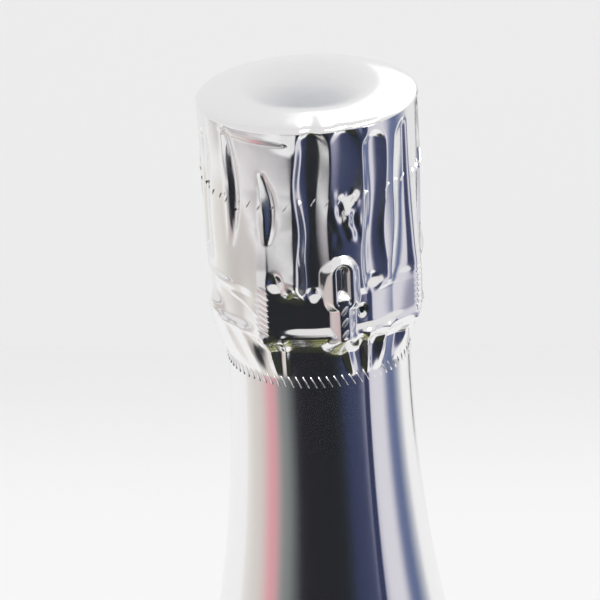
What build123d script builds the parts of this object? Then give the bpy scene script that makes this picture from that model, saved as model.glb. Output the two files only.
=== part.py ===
from build123d import *
import os
from math import asin, cos, pi, radians, sin

# A 75 cl sparkling wine bottle, closed and full, standing on its base. Millimetres, +Z up.
# The origin is the centre of the base, in the plane of the ring that the bottle stands on.
# The face with the wire key looks along -Y. Angles round the neck are measured from -Y towards +X.

# Glass bottle: body, shoulder and neck
bottle_height = 300.0
body_radius = 44.2
body_wall = 4.6
shoulder_start = 96.0        # height at which the straight body ends
swell_drop = 24.0            # from the top down to where the neck stops being straight
swell_radius = 280.0         # large hollow curve that leads the neck into the shoulder
neck_radius = 14.6
bore_radius = 8.75

# Glass bottle: base
heel_radius = 7.0
bearing_width = 3.4          # flat ring that touches the table
punt_height = 31.0
base_thickness = 7.0
trough_bevel = 4.0           # bevel between the floor and the wall, inside
punt_curve_share = (0.62, 0.86, 0.45)     # handles of the punt's curve: along, along, up

# Glass bottle: mouth finish
lip_radius = 14.2
lip_height = 4.0
lip_bevel = 1.2
throat_radius = 13.2         # narrowing between the lip and the ring
ring_radius = 16.4
ring_height = 5.0
ring_drop = 14.0             # from the top of the lip down to the underside of the ring
ring_bevel = 1.2

# Wine
fill_drop = 62.0             # from the top of the lip down to the surface
wine_gap = 0.05

# Cork
cork_depth = 25.0            # how far the cork goes into the neck
cork_fit = 0.05
cork_seat_gap = 0.05
disc_thickness = 5.5
head_radius = 15.2
head_height = 17.9
head_seat_radius = 10.8      # where the head stops resting on the lip
head_swell = 6.4             # height over which the head swells to its full width
head_bulge = 1.6
head_bevel = 2.6

# Plaque
plaque_radius = 13.3
plaque_sheet = 0.35
plaque_gap = 0.05
plaque_dome_radius = 8.4
plaque_dome_rise = 0.9
plaque_rim_rise = 0.7
plaque_notch = 3.0

# Wire cage
leg_count = 4
leg_angle = -28.0            # the first leg, left of the front
frame_wire = 0.9
top_ring_radius = 11.9
wire_gap = 0.05
leg_gap = 0.15
leg_bend = 3.2
leg_straight = 12.0          # stretch of a leg beside the cork's head
turn_pitch = 5.0             # length of one full turn of a twisted pair
turn_steps = 6
wire_sides = 8
pair_points = 6
pair_waist = 0.55            # a twisted pair's narrowest half width, as a share of its widest
belt_wire_size = 1.0
belt_gap = 0.1
belt_end_gap = 0.2           # between the belt's two ends, at the key
belt_end_radius = 0.45       # the ends are drawn a little thinner where they turn out to the key

# Wire key, folded up against the neck
key_angle = 13.0
stem_length = 6.0
loop_width = 2.8
loop_length = 6.8
knuckle_radius = 0.55
knuckle_length = 1.9
knuckle_gap = 0.1
key_gap = 0.3

# Foil
foil = 0.15
foil_gap = 0.05
facet_room = 0.06            # how far the flat facets of the draped foil cut inside its corners
hood_top_gap = 0.2
disc_flat_radius = 13.2
disc_fall = 0.9              # from the flat top down to the rim
disc_rim = 1.0               # depth of the turned-down rim
crown_drop = 14.0            # from the top of the hood down to the upper tear line, at the middle
tear_tilt = 3.0              # the upper tear line runs lower on the left
band_drop = 45.0             # from the top of the hood down to the lower tear line
sleeve_drop = 121.0          # from the top of the hood down to the sleeve's edge
tear_gap = 0.05
waist_radius = 15.9          # foil between the legs, at the upper tear line
throat_foil_radius = 15.6    # foil between the legs, beside the bottle's lip
tuck_height = 3.2            # height over which the foil is drawn in under the belt
flap_margin = 0.3
flap_gap = 0.1
flap_round = 1.2
flap_bevel = 0.4
overrun = 5.0

# Draped foil round one leg: angle from the leg, and how much of the leg's height the foil keeps there
fold_angles = (0, 4, 10, 18, 27, 36, 45, 54, 63, 72, 80, 86)
fold_shares = (1, 1, 0.5, 0, 0.2, 0, 0.25, 0, 0.2, 0, 0.5, 1)

# Heights and radii that follow from the sizes above
inner_radius = body_radius - body_wall
swell_start = bottle_height - swell_drop
bore_end = swell_start
ring_bottom = bottle_height - ring_drop
ring_top = ring_bottom + ring_height
head_top = bottle_height + head_height
flange_top = head_top + plaque_gap + plaque_sheet
pair_half = frame_wire
wire_level = flange_top + wire_gap + pair_half
leg_radius = head_radius + leg_gap + pair_half
leg_low_radius = ring_radius + leg_gap + pair_half
eyelet_radius = belt_wire_size / 2 + belt_gap + frame_wire / 2
belt_radius = neck_radius + belt_gap + eyelet_radius + frame_wire / 2
belt_level = ring_bottom - belt_gap - eyelet_radius - frame_wire / 2
hood_top = wire_level + pair_half + hood_top_gap + foil
hood_radius = leg_radius + pair_half + foil_gap + foil
upper_tear = hood_top - crown_drop
lower_tear = hood_top - band_drop
key_plane = ring_radius + key_gap + pair_half


def radial_plane(angle):
    """Upright plane through the bottle's axis: x runs outwards at that angle, y runs up."""
    turn = radians(angle)
    outwards = Vector(sin(turn), -cos(turn), 0)
    return Plane(origin=(0, 0, 0), x_dir=outwards, z_dir=outwards.cross(Vector(0, 0, 1)))


def shoulder_curve(low_radius, low_height, high_radius, high_height, hollow_radius):
    """Centres, joint and full radius of the two tangent arcs between the body and the neck."""
    step = low_radius - high_radius
    rise = high_height - low_height
    both = (rise**2 + step**2) / (2 * step)
    full_radius = both - hollow_radius
    lean = asin(rise / both)
    joint = (low_radius - full_radius * (1 - cos(lean)), low_height + full_radius * sin(lean))
    return full_radius, joint, lean


def side_line(low_radius, high_radius, high_height, hollow_radius, start_height, top_height):
    """Side of a bottle shape, drawn from the body upwards to the neck's straight stretch."""
    full_radius, joint, lean = shoulder_curve(
        low_radius, shoulder_start, high_radius, high_height, hollow_radius
    )
    half = lean / 2
    full_middle = (
        low_radius - full_radius * (1 - cos(half)),
        shoulder_start + full_radius * sin(half),
    )
    hollow_middle = (
        high_radius + hollow_radius * (1 - cos(half)),
        high_height - hollow_radius * sin(half),
    )
    Line((low_radius, start_height), (low_radius, shoulder_start))
    ThreePointArc((low_radius, shoulder_start), full_middle, joint)
    ThreePointArc(joint, hollow_middle, (high_radius, high_height))
    Line((high_radius, high_height), (high_radius, top_height))


def punt_line(edge, peak, foot):
    """Half line of the punt, from its top on the axis out and down to its edge."""
    along, along_low, up = punt_curve_share
    rise = peak - foot
    Bezier((0, peak), (along * edge, peak), (along_low * edge, foot + up * rise), (edge, foot))


def cavity_outline(gap, top_height):
    """Half outline of the space inside the glass, drawn smaller by a gap."""
    wall_radius = inner_radius - gap
    floor = base_thickness + gap
    peak = punt_height + base_thickness + gap
    low = inner_radius - trough_bevel
    punt_line(low, peak, floor)
    Line((low, floor), (wall_radius, floor + trough_bevel))
    inner_hollow = swell_radius - body_wall
    side_line(
        wall_radius, bore_radius - gap, bore_end, inner_hollow, floor + trough_bevel, top_height
    )
    Polyline((bore_radius - gap, top_height), (0, top_height), (0, peak))


# Glass bottle
lip_bottom = bottle_height - lip_height
with BuildPart() as glass_bottle:
    with BuildSketch(Plane.XZ):
        punt_edge = body_radius - heel_radius - bearing_width
        heel_start = punt_edge + bearing_width
        with BuildLine():
            punt_line(punt_edge, punt_height, 0)
            Line((punt_edge, 0), (heel_start, 0))
            RadiusArc((heel_start, 0), (body_radius, heel_radius), -heel_radius)
            side_line(body_radius, neck_radius, swell_start, swell_radius, heel_radius, ring_bottom)
            Polyline(
                (neck_radius, ring_bottom),
                (ring_radius - ring_bevel, ring_bottom),
                (ring_radius, ring_bottom + ring_bevel),
                (ring_radius, ring_top - ring_bevel),
                (ring_radius - ring_bevel, ring_top),
                (throat_radius, ring_top),
                (throat_radius, lip_bottom),
                (lip_radius, lip_bottom + lip_bevel),
                (lip_radius, bottle_height - lip_bevel),
                (lip_radius - lip_bevel, bottle_height),
                (0, bottle_height),
                (0, punt_height),
            )
        make_face()
    revolve(axis=Axis.Z)
    with BuildSketch(Plane.XZ):
        with BuildLine():
            cavity_outline(0, bottle_height + overrun)
        make_face()
    revolve(axis=Axis.Z, mode=Mode.SUBTRACT)
glass_bottle.part.label = "glass_bottle"

# Wine, up to its surface in the neck
with BuildPart() as wine:
    with BuildSketch(Plane.XZ) as wine_section:
        with BuildLine():
            cavity_outline(wine_gap, bottle_height)
        make_face()
        fill_level = bottle_height - fill_drop
        with Locations((0, fill_level)):
            Rectangle(
                2 * body_radius, bottle_height, align=(Align.CENTER, Align.MIN), mode=Mode.SUBTRACT
            )
    revolve(axis=Axis.Z)
wine.part.label = "wine"

# Cork: two discs of natural cork under a pressed body with a swollen head
cork_radius = bore_radius - cork_fit
cork_bottom = bottle_height - cork_depth
with BuildPart() as cork_disc_lower:
    with BuildSketch(Plane.XY.offset(cork_bottom)):
        Circle(cork_radius)
    extrude(amount=disc_thickness)
cork_disc_lower.part.label = "cork_disc_lower"

with BuildPart() as cork_disc_upper:
    with BuildSketch(Plane.XY.offset(cork_bottom + disc_thickness)):
        Circle(cork_radius)
    extrude(amount=disc_thickness)
cork_disc_upper.part.label = "cork_disc_upper"

with BuildPart() as cork_body:
    with BuildSketch(Plane.XZ) as cork_section:
        body_bottom = cork_bottom + 2 * disc_thickness
        seat = bottle_height + cork_seat_gap
        with BuildLine():
            Polyline(
                (0, body_bottom),
                (cork_radius, body_bottom),
                (cork_radius, seat),
                (head_seat_radius, seat),
                (head_radius - head_bulge, seat + head_bulge),
                (head_radius, seat + head_swell),
                (head_radius, head_top - head_bevel),
                (head_radius - head_bevel, head_top),
                (0, head_top),
                (0, body_bottom),
            )
        make_face()
    revolve(axis=Axis.Z)
cork_body.part.label = "cork_body"

# Plaque: the pressed metal cap between the cork and the wire
with BuildPart() as plaque:
    with BuildSketch(Plane.XZ) as plaque_section:
        under = head_top + plaque_gap
        rim_top = flange_top + plaque_rim_rise
        slope_end = plaque_dome_radius + plaque_dome_rise
        with BuildLine():
            Polyline(
                (0, under + plaque_dome_rise),
                (plaque_dome_radius, under + plaque_dome_rise),
                (slope_end, under),
                (plaque_radius, under),
                (plaque_radius, rim_top),
                (plaque_radius - plaque_sheet, rim_top),
                (plaque_radius - plaque_sheet, flange_top),
                (slope_end + plaque_sheet / 2, flange_top),
                (plaque_dome_radius + plaque_sheet / 2, flange_top + plaque_dome_rise),
                (0, flange_top + plaque_dome_rise),
                close=True,
            )
        make_face()
    revolve(axis=Axis.Z)
    with BuildSketch(Plane.XY.offset(flange_top)):
        with PolarLocations(plaque_radius, leg_count, start_angle=leg_angle - 90):
            Rectangle(plaque_notch, plaque_notch)
    extrude(amount=plaque_rim_rise + overrun, mode=Mode.SUBTRACT)
plaque.part.label = "plaque"


def pair_corners(path, share):
    """Corners of two wires side by side, at a share of the path that they are twisted along."""
    here = Plane(path.location_at(share))
    turn = 2 * pi * path.length * share / turn_pitch
    corners = []
    for number in range(pair_points):
        angle = 2 * pi * number / pair_points
        reach = pair_half * (pair_waist + (1 - pair_waist) * cos(angle) ** 2)
        corners.append(here.from_local_coords((reach * cos(angle + turn), reach * sin(angle + turn), 0)))
    return corners


def twisted_pair(path):
    """Two strands twisted together along a path, as a solid of flat facets."""
    steps = round(turn_steps * path.length / turn_pitch)
    rings = [pair_corners(path, step / steps) for step in range(steps + 1)]
    facets = [Face(Wire.make_polygon(rings[0])), Face(Wire.make_polygon(rings[-1]))]
    for low, high in zip(rings, rings[1:]):
        for number in range(pair_points):
            after = (number + 1) % pair_points
            facets.append(Face(Wire.make_polygon((low[number], low[after], high[number]))))
            facets.append(Face(Wire.make_polygon((low[after], high[after], high[number]))))
    add(Solid(Shell(facets)))


# One leg of the cage, twisted from two strands: over the cork's head, down, and out over the ring
straight_end = wire_level - leg_straight
leg_end = belt_level + eyelet_radius + frame_wire / 2 + wire_gap
with BuildLine(radial_plane(leg_angle)) as leg_line:
    FilletPolyline(
        (top_ring_radius, wire_level),
        (leg_radius, wire_level),
        (leg_radius, straight_end),
        (leg_low_radius, ring_top),
        (leg_low_radius, leg_end),
        radius=leg_bend,
    )
with BuildPart() as leg:
    twisted_pair(leg_line.wires()[0])

# Cage frame: the wire ring on the plaque with its four legs
with BuildPart() as cage_frame:
    with BuildSketch(Plane.XZ):
        with Locations((top_ring_radius, flange_top + wire_gap + frame_wire / 2)):
            RegularPolygon(frame_wire / 2, wire_sides, rotation=180 / wire_sides)
    revolve(axis=Axis.Z)
    with PolarLocations(0, leg_count):
        add(leg.part)
cage_frame.part.label = "cage_frame"

# Leg eyelets: the loops at the legs' ends that the belt wire runs through
leg_eyelets = []
for number in range(leg_count):
    eyelet_plane = radial_plane(leg_angle + 360 / leg_count * number)
    with BuildPart() as leg_eyelet:
        with BuildSketch(eyelet_plane):
            with Locations((belt_radius, belt_level)):
                Circle(eyelet_radius + frame_wire / 2)
                Circle(eyelet_radius - frame_wire / 2, mode=Mode.SUBTRACT)
        extrude(amount=frame_wire / 2, both=True)
    leg_eyelet.part.label = f"leg_eyelet_{number + 1}"
    leg_eyelets.append(leg_eyelet)

# Belt wire: drawn round the neck under the glass ring, with its two ends turned out at the key
key_side = radial_plane(key_angle)
belt_end_middle = belt_end_gap / 2 + belt_end_radius
with BuildPart() as belt_wire:
    with BuildSketch(Plane.XZ):
        with Locations((belt_radius, belt_level)):
            RegularPolygon(belt_wire_size / 2, wire_sides, rotation=180 / wire_sides)
    revolve(axis=Axis.Z)
    with BuildSketch(key_side):
        with Locations((belt_radius, belt_level)):
            Rectangle(overrun, overrun)
    extrude(amount=belt_end_middle, both=True, mode=Mode.SUBTRACT)
    end_plane = Plane(
        origin=key_side.x_dir * belt_radius, x_dir=key_side.z_dir, z_dir=key_side.x_dir
    )
    end_reach = key_plane - knuckle_radius - knuckle_gap - belt_radius
    with BuildSketch(end_plane):
        with Locations((belt_end_middle, -belt_level), (-belt_end_middle, -belt_level)):
            RegularPolygon(belt_end_radius, wire_sides)
    extrude(amount=end_reach)
belt_wire.part.label = "belt_wire"

# Wire key: a hinge knuckle, a twisted stem and a loop, folded up against the neck
stem_top = belt_level + stem_length
loop_middle = stem_top + loop_length / 2
with BuildLine(key_side) as stem_line:
    Line((key_plane, belt_level), (key_plane, stem_top))
with BuildPart() as wire_key:
    twisted_pair(stem_line.wires()[0])
    with BuildSketch(key_side):
        with Locations((key_plane, belt_level)):
            Circle(knuckle_radius)
    extrude(amount=knuckle_length / 2, both=True)
    loop_plane = Plane(
        origin=key_side.x_dir * key_plane, x_dir=key_side.z_dir, z_dir=key_side.x_dir
    )
    with BuildSketch(loop_plane):
        with Locations((0, -loop_middle)):
            SlotOverall(loop_length + frame_wire, loop_width + frame_wire, rotation=90)
            SlotOverall(
                loop_length - frame_wire, loop_width - frame_wire, rotation=90, mode=Mode.SUBTRACT
            )
    extrude(amount=frame_wire / 2, both=True)
wire_key.part.label = "wire_key"

# Radii of the foil's outer face where it lies on something, seen from the outside
over_neck = neck_radius + foil_gap + foil + facet_room
over_ring = ring_radius + foil_gap + foil + facet_room
over_belt = belt_radius + belt_wire_size / 2 + foil_gap + foil + facet_room
over_eyelet = belt_radius + eyelet_radius + frame_wire / 2 + foil_gap + foil + facet_room
over_low_leg = leg_low_radius + pair_half + foil_gap + foil + facet_room
rim_level = hood_top - disc_fall
crown_top = rim_level - foil - foil_gap
crown_top_radius = hood_radius - foil - foil_gap
eyelet_foot = belt_level - eyelet_radius - frame_wire / 2


def foil_section(height, between, over_leg, inset):
    """Outline of the draped foil at one height, from its radius between the legs and over them."""
    corners = []
    for number in range(leg_count):
        for angle, share in zip(fold_angles, fold_shares):
            turn = radians(leg_angle + 360 / leg_count * number + angle)
            reach = between + share * (over_leg - between) - inset
            corners.append((reach * sin(turn), -reach * cos(turn)))
    with BuildSketch(Plane.XY.offset(height)) as section:
        Polygon(*corners, align=None)
    return section.sketch


def foil_body(inset):
    """Solid inside the draped foil's outer face, drawn smaller by an inset."""
    drapes = (
        (lower_tear - overrun, over_neck, over_neck),
        (eyelet_foot - tuck_height, over_neck, over_neck),
        (eyelet_foot - foil_gap, (over_neck + over_belt) / 2, over_belt + foil_gap),
        (belt_level - belt_wire_size / 2, over_belt, over_eyelet),
        (belt_level + belt_wire_size / 2, over_belt, over_eyelet),
        (ring_bottom, over_ring, over_low_leg),
        (ring_top, over_ring, over_low_leg),
        (ring_top + lip_height, throat_foil_radius, over_low_leg - foil_gap),
        (straight_end, waist_radius, hood_radius + 2 * foil_gap),
        (head_top - head_bevel, crown_top_radius - foil, hood_radius),
        (crown_top, crown_top_radius, crown_top_radius),
    )
    sections = [foil_section(*drape, inset) for drape in drapes]
    loft(sections, ruled=True)


# The draped foil in one piece, before it is parted at the tear lines
with BuildPart() as foil_outside:
    foil_body(0)
with BuildPart() as foil_inside:
    foil_body(foil)
with BuildPart() as foil_room:
    foil_body(-foil_gap)

# Foil over the key: a raised patch of foil that lifts with the key
flap_bottom = belt_level - knuckle_radius - flap_margin - foil
flap_top = stem_top + loop_length + frame_wire / 2 + flap_margin + foil
flap_height = flap_top - flap_bottom
flap_width = loop_width + frame_wire + 2 * flap_margin + 2 * foil
flap_face = key_plane + pair_half + foil_gap + foil
flap_level = (flap_bottom + flap_top) / 2
outward_axis = Axis((0, 0, 0), key_side.x_dir)


def flap_block(inset):
    """Block with rounded corners that stands out over the key, drawn smaller by an inset."""
    with BuildPart() as block:
        with BuildSketch(loop_plane.offset(-overrun)):
            with Locations((0, -flap_level)):
                RectangleRounded(
                    flap_width - 2 * inset, flap_height - 2 * inset, flap_round - inset
                )
        extrude(amount=overrun + flap_face - key_plane - inset)
        chamfer(block.faces().sort_by(outward_axis).last.edges(), flap_bevel)
    return block.part


with BuildPart() as foil_key_flap:
    add(flap_block(0))
    add(flap_block(foil), mode=Mode.SUBTRACT)
    add(foil_room.part, mode=Mode.SUBTRACT)
foil_key_flap.part.label = "foil_key_flap"

# Foil crown: the draped foil round the cork's head, down to the tilted upper tear line
tear_plane = Plane(origin=(0, 0, upper_tear), x_dir=(1, 0, 0), z_dir=(0, 0, 1)).rotated((0, -tear_tilt, 0))
with BuildPart() as foil_crown:
    add(foil_outside.part)
    add(foil_inside.part, mode=Mode.SUBTRACT)
    split(bisect_by=tear_plane.offset(tear_gap / 2), keep=Keep.TOP)
foil_crown.part.label = "foil_crown"

# Foil tear band: between the two tear lines, with the opening that the key lies in
with BuildPart() as foil_tear_band:
    add(foil_outside.part)
    add(foil_inside.part, mode=Mode.SUBTRACT)
    split(bisect_by=tear_plane.offset(-tear_gap / 2), keep=Keep.BOTTOM)
    split(bisect_by=Plane.XY.offset(lower_tear + tear_gap / 2), keep=Keep.TOP)
    with BuildSketch(loop_plane.offset(-overrun)):
        with Locations((0, -flap_level)):
            RectangleRounded(
                flap_width + 2 * flap_gap, flap_height + 2 * flap_gap, flap_round + flap_gap
            )
    extrude(amount=2 * overrun, mode=Mode.SUBTRACT)
foil_tear_band.part.label = "foil_tear_band"

# Foil neck sleeve: lies on the glass from the lower tear line down
sleeve_top = lower_tear - tear_gap / 2
sleeve_bottom = hood_top - sleeve_drop


def glass_side(gap):
    """Outline of the glass from the heel up, without its ring and lip, drawn larger by a gap."""
    low = body_radius + gap
    high = neck_radius + gap
    side_line(low, high, swell_start, swell_radius - gap, heel_radius, bottle_height)
    Polyline((high, bottle_height), (0, bottle_height), (0, heel_radius), (low, heel_radius))


with BuildPart() as foil_neck_sleeve:
    with BuildSketch(Plane.XZ):
        with BuildLine():
            glass_side(foil_gap + foil)
        make_face()
        with BuildLine():
            glass_side(foil_gap)
        make_face(mode=Mode.SUBTRACT)
        with Locations((0, sleeve_bottom)):
            Rectangle(
                body_radius,
                sleeve_top - sleeve_bottom,
                align=(Align.MIN, Align.MIN),
                mode=Mode.INTERSECT,
            )
    revolve(axis=Axis.Z)
foil_neck_sleeve.part.label = "foil_neck_sleeve"

# Foil head disc: flat on top, with a rim turned down over the crown
with BuildPart() as foil_head_disc:
    with BuildSketch(Plane.XZ):
        with BuildLine():
            Polyline(
                (0, hood_top),
                (disc_flat_radius, hood_top),
                (hood_radius, rim_level),
                (hood_radius, rim_level - disc_rim),
                (hood_radius - foil, rim_level - disc_rim),
                (hood_radius - foil, rim_level - foil),
                (disc_flat_radius, hood_top - foil),
                (0, hood_top - foil),
                close=True,
            )
        make_face()
    revolve(axis=Axis.Z)
foil_head_disc.part.label = "foil_head_disc"

pieces = (
    glass_bottle,
    wine,
    cork_disc_lower,
    cork_disc_upper,
    cork_body,
    plaque,
    cage_frame,
    *leg_eyelets,
    belt_wire,
    wire_key,
    foil_neck_sleeve,
    foil_tear_band,
    foil_key_flap,
    foil_crown,
    foil_head_disc,
)
os.makedirs("parts", exist_ok=True)
for piece in pieces:
    export_step(piece.part, f"parts/{piece.part.label}.step")
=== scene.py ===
import math

import bpy
import numpy as np
from bpy.props import FloatProperty, FloatVectorProperty, IntProperty, PointerProperty
from mathutils import Matrix, Vector


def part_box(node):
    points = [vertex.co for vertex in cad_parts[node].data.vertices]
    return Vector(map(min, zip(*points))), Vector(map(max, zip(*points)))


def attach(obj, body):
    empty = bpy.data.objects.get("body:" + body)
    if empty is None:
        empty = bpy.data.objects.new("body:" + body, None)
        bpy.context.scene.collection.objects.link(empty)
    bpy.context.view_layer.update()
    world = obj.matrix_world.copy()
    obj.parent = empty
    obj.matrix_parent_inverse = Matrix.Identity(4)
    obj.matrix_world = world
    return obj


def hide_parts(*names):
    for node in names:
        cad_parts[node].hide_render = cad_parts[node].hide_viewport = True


bl_info = {
    "name": "Sparkling Wine Bottle",
    "version": (1, 0, 0),
    "blender": (4, 5, 0),
    "location": "View3D > Sidebar > Bottle",
    "description": "Dresses a closed sparkling wine bottle: foil hood, wire cage, cork, glass and wine",
    "category": "Object",
}

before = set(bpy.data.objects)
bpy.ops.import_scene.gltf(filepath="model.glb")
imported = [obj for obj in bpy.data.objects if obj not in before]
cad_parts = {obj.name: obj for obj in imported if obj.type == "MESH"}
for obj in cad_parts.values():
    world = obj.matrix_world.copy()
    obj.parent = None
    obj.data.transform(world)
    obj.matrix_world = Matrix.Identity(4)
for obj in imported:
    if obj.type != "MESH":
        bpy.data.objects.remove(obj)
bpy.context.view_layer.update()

# Lengths are in metres. Azimuths are in degrees round the bottle, from the front (-Y) towards +X.
MM = 0.001
IMAGE_SIZE = 600


def foot_of(node):
    """Height of the lowest point of a solid."""
    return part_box(node)[0][2]


def top_of(node):
    """Height of the highest point of a solid."""
    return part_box(node)[1][2]


def reach_of(node):
    """How far a solid reaches to the right of the axis."""
    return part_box(node)[1][0]


# Heights and radii that follow from the solids
GLASS_TOP = top_of("glass_bottle")
BODY_RADIUS = reach_of("glass_bottle")
HEAD_RADIUS = reach_of("cork_body")
HEAD_TOP = top_of("cork_body")
HOOD_TOP = top_of("foil_head_disc")
HOOD_RADIUS = reach_of("foil_head_disc")
LOWER_TEAR = top_of("foil_neck_sleeve")
SLEEVE_END = foot_of("foil_neck_sleeve")
BELT_LEVEL = (foot_of("belt_wire") + top_of("belt_wire")) / 2
KEY_TOP = top_of("wire_key")
FLAP_TOP = top_of("foil_key_flap")
WINE_LEVEL = top_of("wine")
NECK_RADIUS = 14.6 * MM
BORE_RADIUS = 8.75 * MM
SHOULDER_START = 96 * MM
SWELL_START = GLASS_TOP - 24 * MM
SWELL_RADIUS = 280 * MM
WALL = 4.6 * MM
BASE_THICKNESS = 7 * MM
TROUGH = 4 * MM
PUNT_HEIGHT = 31 * MM
HEEL_RADIUS = 7 * MM
BEARING_WIDTH = 3.4 * MM
LIP_RADIUS = 14.2 * MM
LIP_BOTTOM = GLASS_TOP - 4 * MM
THROAT_RADIUS = 13.2 * MM
RING_BOTTOM = GLASS_TOP - 14 * MM
RING_TOP = RING_BOTTOM + 5 * MM
RING_RADIUS = 16.4 * MM
LEG_ANGLE = -28.0
LEG_COUNT = 4
LEG_APART = 360 / LEG_COUNT
LEG_ANGLES = [LEG_ANGLE + LEG_APART * number for number in range(LEG_COUNT)]
KEY_ANGLE = 13.0
KEY_RADIUS = 17.6 * MM
BELT_RADIUS = 16.2 * MM
LEG_RADIUS = 16.25 * MM
LEG_LOW_RADIUS = 17.45 * MM
WIRE = 0.45 * MM
WIRE_LEVEL = top_of("cage_frame") - 2 * WIRE
TOP_RING_RADIUS = 11.9 * MM
KEY_LOOP = 1.4 * MM
UPPER_TEAR = HOOD_TOP - 14 * MM
CROWN_TOP = HOOD_TOP - 1.95 * MM
CROWN_RADIUS = 17.3 * MM
CORK_GRAIN = 2.4 * MM


def length_setting(name, description, default):
    """A length that the sidebar shows in the scene's unit."""
    return FloatProperty(
        name=name, description=description, default=default, subtype="DISTANCE", unit="LENGTH"
    )


def colour_setting(name, description, default):
    """A colour as the screen shows it."""
    return FloatVectorProperty(
        name=name, description=description, default=default, subtype="COLOR_GAMMA", size=3
    )


class FoilSettings(bpy.types.PropertyGroup):
    """Sizes and colour of the silver foil."""

    thickness: length_setting("Thickness", "Thickness of the foil", 0.08 * MM)
    columns: IntProperty(
        name="Columns", description="Faces of the foil round the bottle", default=420, min=60
    )
    flute_depth: FloatProperty(
        name="Flute depth",
        description="How far the foil is pressed in between the wires, as a share of the photograph's",
        default=1.0,
        subtype="FACTOR",
    )
    crumple_depth: length_setting(
        "Crumple depth", "Height of the small dents all over the hood", 0.05 * MM
    )
    seam_angle: FloatProperty(
        name="Seam", description="Azimuth of the foil's overlap, in degrees", default=29.0
    )
    tear_tilt: FloatProperty(
        name="Tear line tilt",
        description="Lean of the upper tear line, in degrees, lower on the left",
        default=3.0,
    )
    colour: colour_setting("Colour", "Colour of the foil's bright aluminium", (0.965, 0.962, 0.962))


class BottleSettings(bpy.types.PropertyGroup):
    """Colours of the bottle and of what it holds."""

    sides: IntProperty(name="Sides", description="Steps round each turned piece", default=128, min=32)
    glass: colour_setting("Glass", "Colour of the green glass", (0.10, 0.19, 0.09))
    wine: colour_setting("Wine", "Colour of the wine", (0.96, 0.86, 0.50))


class StageSettings(bpy.types.PropertyGroup):
    """Camera and light."""

    distance: length_setting("Distance", "From the camera to what it aims at", 0.4)
    elevation: FloatProperty(
        name="Elevation", description="Height of the camera over the horizon, in degrees", default=25.0
    )
    roll: FloatProperty(
        name="Roll", description="Lean of the bottle's top to the left, in degrees", default=3.0
    )
    aim_height: length_setting("Aim height", "Height that the camera aims at", 283.4 * MM)
    aim_side: length_setting(
        "Aim side", "How far to the right of the axis the camera aims", -2.73 * MM
    )
    focal_pixels: FloatProperty(
        name="Focal length",
        description="Focal length in pixels of the photograph's width",
        default=2480.0,
    )


def linear(code):
    """Linear colour, with an alpha of 1, from an sRGB hex code such as E8E4E0."""
    channels = []
    for start in (0, 2, 4):
        value = int(code[start:start + 2], 16) / 255
        channels.append(value / 12.92 if value <= 0.04045 else ((value + 0.055) / 1.055) ** 2.4)
    return (*channels, 1.0)


def shown_colour(channels):
    """Linear colour, with an alpha of 1, from a colour as the sidebar shows it."""
    return (*[channel**2.2 for channel in channels], 1)


def smooth_step(low, high, value):
    """From 0 at low to 1 at high, without corners."""
    share = np.clip((value - low) / (high - low), 0, 1)
    return share * share * (3 - 2 * share)


def feed(tree, socket, value):
    """Sets a socket to a plain value, or links it to another node's output."""
    if isinstance(value, bpy.types.NodeSocket):
        tree.links.new(value, socket)
    else:
        socket.default_value = value


def add_node(tree, kind, settings=None):
    """Adds a node, and sets its properties and sockets. A socket's setting may be a node's output."""
    node = tree.nodes.new(kind)
    for name, value in (settings or {}).items():
        if name in node.inputs:
            feed(tree, node.inputs[name], value)
        else:
            setattr(node, name, value)
    return node


def new_material(name, settings):
    """A material with a node tree and its Principled shader, whose plain values are given."""
    material = bpy.data.materials.new(name)
    material.use_nodes = True
    tree = material.node_tree
    shader = tree.nodes["Principled BSDF"]
    for socket, value in settings.items():
        shader.inputs[socket].default_value = value
    return material, tree, shader


def object_place(tree):
    """The place on the object, for textures that stay with it."""
    return add_node(tree, "ShaderNodeTexCoord").outputs["Object"]


def add_noise(tree, place, size, detail, roughness=0.5):
    """Noise from 0 to 1, in lumps of about the given size."""
    settings = {"Scale": 1 / size, "Detail": detail, "Roughness": roughness, "Vector": place}
    return add_node(tree, "ShaderNodeTexNoise", settings).outputs["Fac"]


def add_ramp(tree, value, stops):
    """Colours that run softly from stop to stop. A stop is a place from 0 to 1 and a linear colour."""
    ramp = add_node(tree, "ShaderNodeValToRGB", {"Fac": value})
    elements = ramp.color_ramp.elements
    while len(elements) < len(stops):
        elements.new(0.5)
    for element, (place, colour) in zip(elements, stops):
        element.position = place
    for element, (place, colour) in zip(elements, stops):
        element.color = colour
    return ramp.outputs["Color"]


def soft_share(tree, value, low, high):
    """From 0 where a value is low to 1 where it is high, without corners."""
    settings = {"From Min": low, "From Max": high, "interpolation_type": "SMOOTHSTEP", "Value": value}
    return add_node(tree, "ShaderNodeMapRange", settings).outputs["Result"]


def vary_roughness(tree, shader, value, smooth, rough, low=0.0, high=1.0):
    """Lets a piece's roughness go from smooth to rough where a value goes from low to high."""
    settings = {"From Min": low, "From Max": high, "To Min": smooth, "To Max": rough, "Value": value}
    spread = add_node(tree, "ShaderNodeMapRange", settings)
    tree.links.new(spread.outputs["Result"], shader.inputs["Roughness"])


def add_bump(tree, shader, height, strength, distance):
    """Fine relief that only the shading shows."""
    bump = add_node(tree, "ShaderNodeBump", {"Strength": strength, "Distance": distance, "Height": height})
    tree.links.new(bump.outputs["Normal"], shader.inputs["Normal"])


def add_math(tree, operation, *values):
    """Outcome of a sum or a comparison of plain numbers and nodes' outputs."""
    node = add_node(tree, "ShaderNodeMath", {"operation": operation})
    for socket, value in zip(node.inputs, values):
        feed(tree, socket, value)
    return node.outputs["Value"]


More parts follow.
